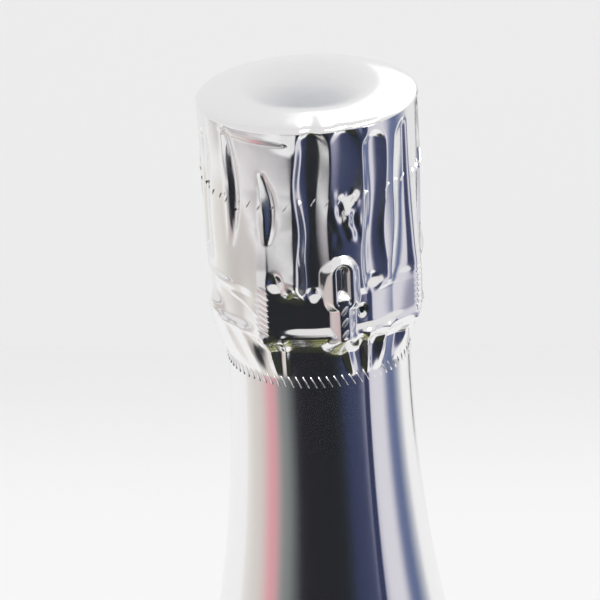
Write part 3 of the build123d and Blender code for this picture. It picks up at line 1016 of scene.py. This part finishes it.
def glass_outline():
    """Outline of the whole glass: up the outside, over the lip and down the inside."""
    punt_edge = BODY_RADIUS - HEEL_RADIUS - BEARING_WIDTH
    outline = punt_outline(punt_edge, PUNT_HEIGHT, 0, 18)
    outline += rounded_corner((BODY_RADIUS - HEEL_RADIUS, HEEL_RADIUS), HEEL_RADIUS, -90, 0, 8)
    outline += side_of_bottle(BODY_RADIUS, NECK_RADIUS, SWELL_RADIUS, 22)
    soft = 1.1 * MM
    outline += [(NECK_RADIUS, RING_BOTTOM)]
    outline += rounded_corner((RING_RADIUS - soft, RING_BOTTOM + soft), soft, -90, 0, 4)
    outline += rounded_corner((RING_RADIUS - soft, RING_TOP - soft), soft, 0, 90, 4)
    outline += [(THROAT_RADIUS, RING_TOP), (THROAT_RADIUS, LIP_BOTTOM)]
    outline += rounded_corner((LIP_RADIUS - soft, LIP_BOTTOM + soft), soft, -60, 0, 3)
    outline += rounded_corner((LIP_RADIUS - soft, GLASS_TOP - soft), soft, 0, 90, 4)
    outline += [(BORE_RADIUS + 0.4 * MM, GLASS_TOP), (BORE_RADIUS, GLASS_TOP - 0.4 * MM)]
    outline += reversed(cavity_outline(0))
    return outline


def green_glass():
    """Moulded bottle glass, tinted dark green: clear and glossy, with the slight waves of the mould."""
    tint = shown_colour(bpy.context.scene.bottle_settings.glass)
    material, tree, shader = new_material(
        "bottle_glass_moulded",
        {"Base Color": tint, "Transmission Weight": 1.0, "IOR": 1.52, "Roughness": 0.02},
    )
    waves = add_noise(tree, object_place(tree), 16 * MM, detail=2.0)
    add_bump(tree, shader, waves, strength=0.15, distance=0.2 * MM)
    return material


def still_wine():
    """Pale golden wine: clear, with fine bubbles that show as a faint grain."""
    tint = shown_colour(bpy.context.scene.bottle_settings.wine)
    material, tree, shader = new_material(
        "wine_pale_gold", {"Transmission Weight": 1.0, "IOR": 1.34, "Roughness": 0.0}
    )
    spacing = {"Scale": 1 / (2.2 * MM), "Vector": object_place(tree)}
    bubbles = add_node(tree, "ShaderNodeTexVoronoi", spacing).outputs["Distance"]
    tone = add_ramp(tree, bubbles, ((0.05, linear("FFFBEA")), (0.12, tint)))
    tree.links.new(tone, shader.inputs["Base Color"])
    return material


class BOTTLE_OT_glass_bottle(bpy.types.Operator):
    """Turns the glass, with its punt, ring and lip, and fills it with wine"""

    bl_idname = "bottle.glass_bottle"
    bl_label = "Glass and wine"

    def execute(self, context):
        sides = context.scene.bottle_settings.sides
        glass = turn_profile("green_glass", glass_outline(), sides)
        finish_piece(glass, green_glass(), "bottle", "bottle_glass", "glass_bottle")
        gap = 0.06 * MM
        outline = cavity_outline(gap)
        filled = [(radius, height) for radius, height in outline if height < WINE_LEVEL]
        side = [(height, radius) for radius, height in outline if height > SHOULDER_START]
        surface_radius = float(np.interp(WINE_LEVEL, *zip(*side)))
        surface = [(surface_radius, WINE_LEVEL), (0, WINE_LEVEL)]
        wine = turn_profile("wine_filling", filled + surface, sides)
        finish_piece(wine, still_wine(), "bottle", "wine", "wine")
        return {"FINISHED"}


# Cork

def granule_cork():
    """Pressed cork granules 1 to 3 mm across, glued: warm tan grains with darker joints, matt."""
    material, tree, shader = new_material("cork_pressed_granules", {"Roughness": 0.85})
    spacing = {"Scale": 1 / CORK_GRAIN, "Vector": object_place(tree)}
    cells = add_node(tree, "ShaderNodeTexVoronoi", spacing).outputs["Color"]
    tone = add_ramp(tree, cells, ((0, linear("A8794A")), (1, linear("D8B285"))))
    edges = {"feature": "DISTANCE_TO_EDGE", **spacing}
    joints = add_node(tree, "ShaderNodeTexVoronoi", edges).outputs["Distance"]
    darkening = {"From Max": 0.09, "To Min": 0.45, "Value": joints}
    line = add_node(tree, "ShaderNodeMapRange", darkening).outputs["Result"]
    tree.links.new(mix_colours(tree, "MULTIPLY", 1.0, line, tone), shader.inputs["Base Color"])
    add_bump(tree, shader, line, strength=0.6, distance=0.15 * MM)
    return material


def natural_cork():
    """Natural cork cut across the bark: pale tan with brown streaks and pores, matt."""
    material, tree, shader = new_material("cork_natural_cut", {"Roughness": 0.8})
    streaks = {"Scale": (1.0, 0.3, 1.0), "Vector": object_place(tree)}
    drawn = add_node(tree, "ShaderNodeMapping", streaks).outputs["Vector"]
    grain = add_noise(tree, drawn, 1.2 * MM, detail=5.0)
    tone = add_ramp(tree, grain, ((0.34, linear("8E5F38")), (0.52, linear("DDBB8E"))))
    tree.links.new(tone, shader.inputs["Base Color"])
    add_bump(tree, shader, grain, strength=0.4, distance=0.1 * MM)
    return material


def roughen(piece, amount, seed):
    """Makes the surface of cork slightly uneven, as granules do."""
    points = point_array(piece)
    reach = np.hypot(points[:, 0], points[:, 1])
    uneven = smooth_noise(azimuth_of(points), points[:, 2] + reach, 40, 1.8, seed)
    share = 1 - amount * (1.6 + np.clip(uneven, -1.5, 1.5)) / np.maximum(reach, MM)
    points[:, :2] *= np.where(reach > 0.5 * MM, share, 1)[:, None]
    place_points(piece, points)


class BOTTLE_OT_cork(bpy.types.Operator):
    """Turns the cork: a pressed body with a swollen head, and two discs of natural cork"""

    bl_idname = "bottle.cork"
    bl_label = "Cork"

    def execute(self, context):
        sides = context.scene.bottle_settings.sides
        shank = reach_of("cork_disc_lower")
        start = foot_of("cork_body")
        seat = GLASS_TOP + 0.05 * MM
        soft = 2.2 * MM
        edge = 0.3 * MM
        outline = [(0, start), (shank - edge, start), (shank, start + edge)]
        outline += [(shank, start + (seat - start) * share) for share in (0.25, 0.5, 0.75, 1)]
        outline += [(10.4 * MM, seat), (10.8 * MM, seat), (12.2 * MM, seat + 0.7 * MM)]
        outline += [(13.5 * MM, seat + 1.7 * MM), (14.3 * MM, seat + 3 * MM), (14.8 * MM, seat + 4.6 * MM)]
        outline += [(HEAD_RADIUS, level) for level in (seat + 6.4 * MM, seat + 9 * MM, HEAD_TOP - 4 * MM)]
        outline += rounded_corner((HEAD_RADIUS - soft, HEAD_TOP - soft), soft * 0.97, 0, 90, 6)
        outline += [(8 * MM, HEAD_TOP), (0, HEAD_TOP)]
        body = turn_profile("cork_granule_body", outline, sides)
        roughen(body, 0.03 * MM, seed=31)
        finish_piece(body, granule_cork(), "cork", "pressed_cork", "cork_body", angle=50)
        natural = natural_cork()
        for node, seed in (("cork_disc_upper", 41), ("cork_disc_lower", 42)):
            low = foot_of(node)
            high = top_of(node)
            edge = 0.25 * MM
            outline = [(0, low), (shank - edge, low), (shank, low + edge), (shank, (low + high) / 2)]
            outline += [(shank, high - edge), (shank - edge, high), (0, high)]
            disc = turn_profile(node.replace("cork_", "natural_cork_"), outline, sides)
            roughen(disc, 0.02 * MM, seed)
            finish_piece(disc, natural, "cork", "natural_cork", node, angle=50)
        return {"FINISHED"}


# Plaque and wire

def printed_tinplate():
    """Lacquered tinplate, pressed: a bare silvery cap with an uneven lacquer."""
    material, tree, shader = new_material("tinplate_lacquered", {"Metallic": 1.0, "Coat Weight": 0.4})
    place = object_place(tree)
    blotch = add_noise(tree, place, 5 * MM, detail=4.0)
    tone = add_ramp(tree, blotch, ((0.35, linear("B9BCC2")), (0.65, linear("CED1D6"))))
    tree.links.new(tone, shader.inputs["Base Color"])
    fine = add_noise(tree, place, 0.4 * MM, detail=2.0)
    vary_roughness(tree, shader, fine, smooth=0.22, rough=0.36)
    return material


def galvanised_wire():
    """Drawn, galvanised steel wire: grey and satin, with zinc blotches just under 1 mm across."""
    material, tree, shader = new_material("steel_wire_galvanised", {"Metallic": 1.0})
    zinc = add_noise(tree, object_place(tree), 0.8 * MM, detail=3.0)
    tone = add_ramp(tree, zinc, ((0.35, linear("8F9296")), (0.62, linear("C4C6CA"))))
    tree.links.new(tone, shader.inputs["Base Color"])
    vary_roughness(tree, shader, zinc, smooth=0.26, rough=0.46)
    return material


class BOTTLE_OT_plaque(bpy.types.Operator):
    """Presses the metal cap that lies on the cork, with a raised middle and a turned-up rim"""

    bl_idname = "bottle.plaque"
    bl_label = "Plaque"

    def execute(self, context):
        low = foot_of("plaque")
        rim = top_of("plaque")
        radius = reach_of("plaque")
        sheet = 0.35 * MM
        soft = 0.3 * MM
        flange = low + sheet
        rise = 0.9 * MM
        raised = flange + rise
        groove = raised - 0.14 * MM
        outline = [(0, low + rise), (7.6 * MM, low + rise), (8.3 * MM, low + rise * 0.85)]
        outline += [(8.9 * MM, low + rise * 0.35), (9.5 * MM, low), (11 * MM, low), (12.6 * MM, low)]
        outline += rounded_corner((radius - soft, low + soft), soft, -90, 0, 3)
        outline += [(radius, rim - 0.1 * MM), (radius - 0.12 * MM, rim), (radius - sheet + 0.08 * MM, rim)]
        outline += [(radius - sheet, rim - 0.1 * MM), (radius - sheet, flange + 0.1 * MM)]
        outline += [(radius - sheet - 0.15 * MM, flange), (11 * MM, flange), (9.7 * MM, flange)]
        outline += [(9.15 * MM, flange + rise * 0.35), (8.6 * MM, flange + rise * 0.85)]
        outline += [(7.8 * MM, raised), (6.6 * MM, raised), (6.3 * MM, groove)]
        outline += [(5.9 * MM, groove), (5.6 * MM, raised), (0, raised)]
        cap = turn_profile("pressed_plaque", outline, 160)
        points = point_array(cap)
        reach = np.hypot(points[:, 0], points[:, 1])
        # the rim is pressed flat where the legs cross it
        off = np.abs(from_leg(azimuth_of(points)))
        crossing = smooth_step(8.0, 6.6, off) * (reach > radius - sheet - 0.05 * MM)
        over = np.clip(points[:, 2] - flange, 0, None)
        flattened_share = 0.96
        points[:, 2] -= over * crossing * flattened_share
        place_points(cap, points)
        finish_piece(cap, printed_tinplate(), "cage", "tinplate", "plaque", angle=40)
        return {"FINISHED"}


def rounded_route(corners, radius, spacing):
    """Points along a line with rounded corners, in the plane of radius and height."""
    route = [Vector(corners[0])]
    for before, corner, after in zip(corners[:-2], corners[1:-1], corners[2:]):
        corner = Vector(corner)
        inward = (Vector(before) - corner).normalized()
        onward = (Vector(after) - corner).normalized()
        half = inward.angle(onward) / 2
        length = radius / math.tan(half)
        start = corner + inward * length
        end = corner + onward * length
        centre = corner + (inward + onward).normalized() * (radius / math.sin(half))
        route.append(start)
        steps = 8
        first = start - centre
        turn = first.angle_signed(end - centre)
        for number in range(1, steps):
            spun = first.copy()
            spun.rotate(Matrix.Rotation(-turn * number / steps, 2))
            route.append(centre + spun)
        route.append(end)
    route.append(Vector(corners[-1]))
    dense = [route[0]]
    for first, second in zip(route[:-1], route[1:]):
        count = max(1, round((second - first).length / spacing))
        for number in range(1, count + 1):
            dense.append(first.lerp(second, number / count))
    return dense


def twist_strand(route, pitch, half, phase):
    """One of two strands twisted round a route: points (out, aside, up)."""
    strand = []
    travelled = 0.0
    for number, point in enumerate(route):
        before = route[max(number - 1, 0)]
        after = route[min(number + 1, len(route) - 1)]
        along = (after - before).normalized()
        travelled += (point - before).length if number else 0
        turn = phase + 2 * math.pi * travelled / pitch
        across = Vector((along.y, -along.x))
        strand.append(
            (
                point.x + across.x * half * math.cos(turn),
                half * math.sin(turn),
                point.y + across.y * half * math.cos(turn),
            )
        )
    return strand


def mirrored(points):
    """The same points (out, aside, up) on the other side, from the last to the first."""
    return [(out, -aside, up) for out, aside, up in reversed(points)]


def draw_wires(name, lines, radius):
    """Round wires along lines of points; a line is (points, closed)."""
    deselect_all()
    curve = bpy.data.curves.new(name, "CURVE")
    curve.dimensions = "3D"
    for points, closed in lines:
        spline = curve.splines.new("POLY")
        spline.points.add(len(points) - 1)
        for knot, point in zip(spline.points, points):
            knot.co = (*point, 1)
        spline.use_cyclic_u = closed
    curve.bevel_depth = radius
    curve.bevel_resolution = 2
    curve.use_fill_caps = True
    wire = bpy.data.objects.new(name, curve)
    bpy.context.collection.objects.link(wire)
    make_active(wire)
    bpy.ops.object.convert(target="MESH")
    wire = bpy.context.object
    edit_all(wire)
    bpy.ops.mesh.remove_doubles(threshold=0.001 * MM)
    bpy.ops.mesh.normals_make_consistent(inside=False)
    bpy.ops.object.mode_set(mode="OBJECT")
    return wire


class BOTTLE_OT_wire_cage(bpy.types.Operator):
    """Draws the wire ring, the four twisted legs with their eyelets, and the belt wire"""

    bl_idname = "bottle.wire_cage"
    bl_label = "Wire cage"

    def execute(self, context):
        steel = galvanised_wire()
        frame_wire = draw_wires("cage_frame_wire", self.ring_and_legs(), WIRE * 0.98)
        finish_piece(frame_wire, steel, "cage", "steel_wire", "cage_frame", angle=60)

        eyelet_radius = 1.05 * MM
        steps = 32
        loop = []
        for step in range(steps):
            turn = 2 * math.pi * step / steps
            out = BELT_RADIUS + eyelet_radius * math.cos(turn)
            loop.append((out, 0.0, BELT_LEVEL + eyelet_radius * math.sin(turn)))
        for number, azimuth in enumerate(LEG_ANGLES, 1):
            eyelet = draw_wires(f"eyelet_wire_{number}", [(at_azimuth(loop, azimuth), True)], WIRE)
            finish_piece(eyelet, steel, "cage", "steel_wire", f"leg_eyelet_{number}", angle=60)

        belt_wire = 0.5 * MM
        belt = draw_wires("belt_ring_wire", [(self.belt_line(), False)], belt_wire * 0.9)
        finish_piece(belt, steel, "cage", "steel_wire", "belt_wire", angle=60)
        return {"FINISHED"}

    def ring_and_legs(self):
        """Lines of the ring on top and of the two strands of each leg."""
        pitch = 4.6 * MM
        steps = 96
        leg_end = top_of("leg_eyelet_1") + 0.05 * MM
        corners = (
            (TOP_RING_RADIUS, WIRE_LEVEL),
            (LEG_RADIUS, WIRE_LEVEL),
            (LEG_RADIUS, WIRE_LEVEL - 12 * MM),
            (LEG_LOW_RADIUS, RING_TOP),
            (LEG_LOW_RADIUS, leg_end),
        )
        route = rounded_route(corners, radius=3.2 * MM, spacing=0.3 * MM)
        ring = [(TOP_RING_RADIUS, 0.0, WIRE_LEVEL - WIRE)]
        lines = [([at_azimuth(ring, 360 * step / steps)[0] for step in range(steps)], True)]
        for azimuth in LEG_ANGLES:
            for phase in (0, math.pi):
                lines.append((at_azimuth(twist_strand(route, pitch, WIRE, phase), azimuth), False))
        return lines

    def belt_line(self):
        """Points round the neck, from the end that turns out at the key to the other one."""
        steps = 120
        half_gap = 1.3 * MM
        gap = math.degrees(half_gap / BELT_RADIUS)
        arc = []
        for step in range(steps + 1):
            azimuth = KEY_ANGLE + gap + (360 - 2 * gap) * step / steps
            arc += at_azimuth([(BELT_RADIUS, 0.0, BELT_LEVEL)], azimuth)
        aside = 0.56 * MM
        turned_out = [
            (KEY_RADIUS - 0.62 * MM, aside, BELT_LEVEL),
            (BELT_RADIUS + 0.3 * MM, aside, BELT_LEVEL),
            (BELT_RADIUS + 0.07 * MM, 0.8 * MM, BELT_LEVEL),
        ]
        return at_azimuth(turned_out, KEY_ANGLE) + arc + at_azimuth(mirrored(turned_out), KEY_ANGLE)


class BOTTLE_OT_wire_key(bpy.types.Operator):
    """Twists the wire key: its knuckle, its stem of two strands and its loop"""

    bl_idname = "bottle.wire_key"
    bl_label = "Wire key"

    def execute(self, context):
        stem_top = BELT_LEVEL + 6 * MM
        steps = 24
        pitch = 4.0 * MM
        half_knuckle = 0.95 * MM
        stem = stem_top - BELT_LEVEL
        route = [Vector((KEY_RADIUS, BELT_LEVEL + stem * step / steps)) for step in range(steps + 1)]
        rise = twist_strand(route, pitch, WIRE, math.pi / 2)
        fall = twist_strand(route, pitch, WIRE, -math.pi / 2)
        points = rise + self.loop_line(stem_top, 1 if rise[-1][1] > 0 else -1) + fall[::-1]
        knuckle = [(KEY_RADIUS, half_knuckle * side, BELT_LEVEL) for side in (-1, -0.5, 0, 0.5, 1)]
        lines = [(at_azimuth(line, KEY_ANGLE), False) for line in (points, knuckle)]
        key = draw_wires("twisted_key_wire", lines, WIRE)
        steel = bpy.data.materials["steel_wire_galvanised"]
        finish_piece(key, steel, "key", "steel_wire", "wire_key", angle=60)
        return {"FINISHED"}

    def loop_line(self, stem_top, side):
        """Points from the stem up one side of the loop, over its top and down the other side."""
        low = stem_top + 1.2 * MM
        high = KEY_TOP - WIRE - KEY_LOOP
        flare_steps = 6
        side_steps = 8
        top_steps = 16
        one_side = []
        for step in range(1, flare_steps + 1):
            share = step / flare_steps
            aside = side * (WIRE + (KEY_LOOP - WIRE) * share**0.6)
            one_side.append((KEY_RADIUS, aside, stem_top + (low - stem_top) * share))
        for step in range(1, side_steps):
            one_side.append((KEY_RADIUS, side * KEY_LOOP, low + (high - low) * step / side_steps))
        top = []
        for step in range(top_steps + 1):
            turn = math.pi * step / top_steps
            top.append((KEY_RADIUS, side * KEY_LOOP * math.cos(turn), high + KEY_LOOP * math.sin(turn)))
        return one_side + top + mirrored(one_side)


# Stage

def glossy_only(card):
    """Hides a card from all but glossy surfaces."""
    card.visible_camera = False
    card.visible_diffuse = False
    card.visible_shadow = False
    card.visible_transmission = False
    card.visible_volume_scatter = False


def blank_tree(card, name):
    """Names a card and gives it a material whose node tree is still empty."""
    card.name = name
    material = bpy.data.materials.new(name)
    material.use_nodes = True
    material.node_tree.nodes.clear()
    card.data.materials.append(material)
    return material.node_tree


def light_card(card, tree, colour, strength, place, low, high):
    """Lets a card shine for glossy surfaces alone, fully at place high and no more at place low."""
    glow = add_node(tree, "ShaderNodeEmission", {"Strength": strength, "Color": colour}).outputs["Emission"]
    clear = add_node(tree, "ShaderNodeBsdfTransparent").outputs["BSDF"]
    surface = mix_shaders(tree, soft_share(tree, place, low, high), clear, glow)
    add_node(tree, "ShaderNodeOutputMaterial", {"Surface": surface})
    glossy_only(card)


def add_floor_card(name, colour, width, depth, aside, ahead, level):
    """A flat card of one colour, which only glossy surfaces see. It runs out softly to a round edge."""
    bpy.ops.mesh.primitive_grid_add(x_subdivisions=2, y_subdivisions=2, size=1)
    card = bpy.context.object
    tree = blank_tree(card, name)
    place = add_node(tree, "ShaderNodeUVMap").outputs["UV"]
    off = add_node(tree, "ShaderNodeVectorMath", {"operation": "DISTANCE"})
    tree.links.new(place, off.inputs[0])
    off.inputs[1].default_value = (0.5, 0.5, 0)
    light_card(card, tree, linear(colour), 1.0, off.outputs["Value"], low=0.54, high=0.46)
    points = point_array(card)
    points[:, 0] = points[:, 0] * width + aside
    points[:, 1] = points[:, 1] * depth + ahead
    points[:, 2] = level
    place_points(card, points)


def add_card(name, stops, low, high, distance, strength=1.0, fade=0.001):
    """A curved reflector that only glossy surfaces see. Its colours run softly from stop to stop, and the
    given share of its height runs out softly at its foot."""
    first = stops[0][0]
    last = stops[-1][0]
    degrees_each = 3
    columns = max(6, round((last - first) / degrees_each))
    deselect_all()
    bpy.ops.mesh.primitive_grid_add(x_subdivisions=columns, y_subdivisions=2, size=1)
    card = bpy.context.object
    flat = point_array(card)
    azimuth = first + (flat[:, 0] + 0.5) * (last - first)
    height = low + (flat[:, 1] + 0.5) * (high - low)
    place_points(card, around(distance, azimuth, height))
    tree = blank_tree(card, name)
    place = add_node(tree, "ShaderNodeUVMap").outputs["UV"]
    axes = add_node(tree, "ShaderNodeSeparateXYZ", {"Vector": place}).outputs
    places = [((angle - first) / (last - first), linear(colour)) for angle, colour in stops]
    light_card(card, tree, add_ramp(tree, axes["X"], places), strength, axes["Y"], low=0, high=fade)


def studio_paper(name, near_colour, far_shade_colour, depth, lean):
    """Pale studio paper, with painted shade that darkens it a little towards the back. Camera, mirrors and
    glass see it evenly lit, and it still takes the object's shadow."""
    material, tree, shader = new_material(name, {"Roughness": 0.9, "Specular IOR Level": 0.1})
    axes = add_node(tree, "ShaderNodeSeparateXYZ", {"Vector": object_place(tree)}).outputs
    along = add_math(tree, "MULTIPLY_ADD", axes["X"], -lean, axes["Y"])
    # painted shade: towards the back wall the paper's colour darkens to the second, darker colour
    share = soft_share(tree, along, depth - 0.16, depth + 0.001)
    colour = mix_colours(tree, "MIX", share, linear(near_colour), linear(far_shade_colour))
    tree.links.new(colour, shader.inputs["Base Color"])
    glow = add_node(tree, "ShaderNodeEmission", {"Strength": 1.0, "Color": colour}).outputs["Emission"]
    rays = add_node(tree, "ShaderNodeLightPath").outputs
    seen = add_math(tree, "MAXIMUM", rays["Is Camera Ray"], rays["Is Glossy Ray"])
    seen = add_math(tree, "MAXIMUM", seen, rays["Is Transmission Ray"])
    glow_share = 0.93
    lit = add_math(tree, "MULTIPLY", seen, glow_share)
    front = mix_shaders(tree, lit, shader.outputs["BSDF"], glow)
    # from behind the paper is open, so that the object can be looked at from all sides
    behind = add_node(tree, "ShaderNodeNewGeometry").outputs["Backfacing"]
    clear = add_node(tree, "ShaderNodeBsdfTransparent").outputs["BSDF"]
    surface = mix_shaders(tree, behind, front, clear)
    tree.links.new(surface, tree.nodes["Material Output"].inputs["Surface"])
    return material


def aim_camera(settings):
    """Puts the camera at the photograph's viewing angle."""
    rise = math.radians(settings.elevation)
    aim = Vector((settings.aim_side, 0, settings.aim_height))
    away = Vector((0, -math.cos(rise), math.sin(rise)))
    bpy.ops.object.camera_add(location=aim + away * settings.distance)
    camera = bpy.context.object
    look = (-away).to_track_quat("-Z", "Y").to_matrix().to_4x4()
    roll = Matrix.Rotation(math.radians(-settings.roll), 4, "Z")
    camera.matrix_world = Matrix.Translation(camera.location) @ look @ roll
    sensor = 36.0
    camera.data.sensor_width = sensor
    camera.data.lens = sensor * settings.focal_pixels / IMAGE_SIZE
    camera.data.clip_start = 0.01
    bpy.context.scene.camera = camera


def build_room():
    """The floor, and a wall that stands a little askew behind the bottle."""
    depth = 0.56
    lean = -0.11
    floor_width = 8.0
    wall_width = 6.0
    wall_height = 3.0
    # the second, darker colour is painted shade towards the back
    paper = studio_paper("studio_paper", "F5F5F5", "EAEAEA", depth, lean)
    bpy.ops.mesh.primitive_plane_add(size=1)
    floor = bpy.context.object
    floor.name = "studio_floor"
    points = point_array(floor)
    points[:, :2] *= floor_width
    place_points(floor, points)
    bpy.ops.mesh.primitive_plane_add(size=1)
    wall = bpy.context.object
    wall.name = "studio_backdrop"
    points = point_array(wall)
    points[:, 0] *= wall_width
    points[:, 2] = (points[:, 1] + 0.5) * wall_height
    points[:, 1] = depth + points[:, 0] * lean
    place_points(wall, points)
    for surface in (floor, wall):
        surface.data.materials.append(paper)


def light_room():
    """Even light from all round, a little stronger where mirrors and the camera see it, and two lamps."""
    world = bpy.data.worlds.new("soft_studio")
    bpy.context.scene.world = world
    world.use_nodes = True
    tree = world.node_tree
    sky = tree.nodes["Background"]
    sky.inputs["Color"].default_value = linear("EDECEC")
    rays = add_node(tree, "ShaderNodeLightPath").outputs
    seen = add_math(tree, "MAXIMUM", rays["Is Glossy Ray"], rays["Is Camera Ray"])
    strength = add_node(tree, "ShaderNodeMapRange", {"To Min": 0.8, "To Max": 0.95, "Value": seen})
    tree.links.new(strength.outputs["Result"], sky.inputs["Strength"])
    add_lamp("key_light", (0.35, -0.25, 0.75), size=0.35, power=5.0)
    add_lamp("fill_light", (-0.6, -0.5, 0.6), size=0.6, power=5.0).visible_glossy = False


def add_lamp(name, place, size, power):
    """A square lamp that shines on the hood."""
    bpy.ops.object.light_add(type="AREA", location=place)
    lamp = bpy.context.object
    lamp.name = name
    lamp.data.size = size
    lamp.data.energy = power
    hood = Vector((0, 0, 290 * MM))
    aim = hood - Vector(place)
    lamp.rotation_euler = aim.to_track_quat("-Z", "Y").to_euler()
    return lamp


class BOTTLE_OT_stage(bpy.types.Operator):
    """Sets the floor, the backdrop, soft light, reflector cards and the camera"""

    bl_idname = "bottle.stage"
    bl_label = "Stage"

    def execute(self, context):
        context.scene.view_settings.view_transform = "Standard"
        deselect_all()
        build_room()
        light_room()
        self.place_cards()
        aim_camera(context.scene.stage_settings)
        return {"FINISHED"}

    def place_cards(self):
        """What the foil mirrors: dark things in front, paler ones to both sides, windows high at the back.
        Each card's stops are azimuths with their colours."""
        low = 0.01
        near = 0.16
        far = 0.5
        left = (
            (-104, "EDEAE7"), (-92, "DEDAD5"), (-78, "D6CECA"), (-70, "DDB4B6"), (-65, "DE9EA6"),
            (-60, "D9A0A6"), (-55, "A89C9E"), (-50, "848A88"), (-44, "7C8282"), (-37, "5A5E60"),
            (-30, "2C2C32"), (-22, "26262C"),
        )
        add_card("card_left", left, 0.168, 0.212, near)
        lower_left = (
            (-100, "EDE9E6"), (-80, "E4E0DA"), (-62, "CFCCC6"), (-50, "9C9A98"), (-38, "4A4A4C"),
            (-22, "26262C"),
        )
        add_card("card_lower_left", lower_left, low, 0.168, near, fade=0.3)
        upper_left = (
            (-124, "EBE9E5"), (-108, "DEDAD4"), (-98, "CCC8C4"), (-88, "C9C2C0"), (-76, "CAC2C0"),
            (-64, "C2B7B8"), (-54, "ACA7AA"), (-46, "949296"), (-38, "68676B"), (-31, "2C2C32"),
            (-22, "26262C"),
        )
        add_card("card_upper_left", upper_left, 0.212, 0.246, near)
        top_left = (
            (-122, "EBE9E5"), (-110, "D2D0CE"), (-98, "B9B7B8"), (-84, "B2AFB2"), (-66, "B8B0B3"),
            (-50, "B6B2B6"), (-38, "A2A0A4"), (-31, "3A3A42"), (-22, "26262C"),
        )
        add_card("card_top_left", top_left, 0.252, 0.275, near, fade=0.4)
        front = (
            (-26, "26262C"), (14, "24262A"), (22, "2A3038"), (28, "363C58"), (48, "3E4562"),
            (56, "8C8CA6"), (62, "DAD8E0"), (80, "DCDAE2"), (89, "6A7498"), (99, "5A688E"),
            (107, "A0A6B6"), (118, "E6E6E8"),
        )
        add_card("card_front", front, low, 0.262, 0.33, fade=0.14)
        edge = ((147.5, "1C1C22"), (153.5, "1C1C22"))
        add_card("card_edge", edge, low, 0.27, far)
        window = ((100, "FFFFFF"), (168, "FFFFFF"), (174, "E6E6E8"))
        add_card("card_window", window, 0.40, 0.95, far, strength=1.4)
        high_window = ((160, "FFFFFF"), (178, "FFFFFF"), (183, "DCDCDE"))
        add_card("card_high_window", high_window, 0.68, 1.30, far, strength=1.3)
        ceiling = ((176.0, "E2E2E4"), (177.6, "A8ACB4"), (180.6, "9A9EA8"), (183.4, "E2E2E4"))
        add_card("card_ceiling", ceiling, 0.452, 0.482, 0.34)
        add_floor_card(
            "card_table", "34362F", width=0.6, depth=0.46, aside=-0.1, ahead=-0.28, level=1.5 * MM
        )
        add_floor_card(
            "card_moss", "BCC07A", width=0.08, depth=0.044, aside=0.012, ahead=-0.075, level=2 * MM
        )


class VIEW3D_PT_bottle(bpy.types.Panel):
    """Shows the settings, and the operators that build the bottle"""

    bl_label = "Sparkling Wine Bottle"
    bl_idname = "VIEW3D_PT_bottle"
    bl_space_type = "VIEW_3D"
    bl_region_type = "UI"
    bl_category = "Bottle"

    def draw(self, context):
        for settings in ("foil_settings", "bottle_settings", "stage_settings"):
            group = getattr(context.scene, settings)
            box = self.layout.box()
            for name in group.__annotations__:
                box.prop(group, name)
        for operator in OPERATORS:
            self.layout.operator(operator.bl_idname)


CLASSES = (
    FoilSettings,
    BottleSettings,
    StageSettings,
    BOTTLE_OT_foil_hood,
    BOTTLE_OT_head_disc,
    BOTTLE_OT_tear_slits,
    BOTTLE_OT_glass_bottle,
    BOTTLE_OT_cork,
    BOTTLE_OT_plaque,
    BOTTLE_OT_wire_cage,
    BOTTLE_OT_wire_key,
    BOTTLE_OT_stage,
    VIEW3D_PT_bottle,
)
OPERATORS = [kind for kind in CLASSES if issubclass(kind, bpy.types.Operator)]


def register():
    """Makes the settings, operators and panel known to Blender."""
    for kind in CLASSES:
        bpy.utils.register_class(kind)
    bpy.types.Scene.foil_settings = PointerProperty(type=FoilSettings)
    bpy.types.Scene.bottle_settings = PointerProperty(type=BottleSettings)
    bpy.types.Scene.stage_settings = PointerProperty(type=StageSettings)


def unregister():
    """Takes the settings, operators and panel away again."""
    del bpy.types.Scene.stage_settings
    del bpy.types.Scene.bottle_settings
    del bpy.types.Scene.foil_settings
    for kind in reversed(CLASSES):
        bpy.utils.unregister_class(kind)


def main():
    """Builds the bottle and its stage."""
    register()
    bpy.ops.bottle.foil_hood()
    bpy.ops.bottle.head_disc()
    bpy.ops.bottle.tear_slits()
    bpy.ops.bottle.glass_bottle()
    bpy.ops.bottle.cork()
    bpy.ops.bottle.plaque()
    bpy.ops.bottle.wire_cage()
    bpy.ops.bottle.wire_key()
    bpy.ops.bottle.stage()


if __name__ == "__main__":
    main()
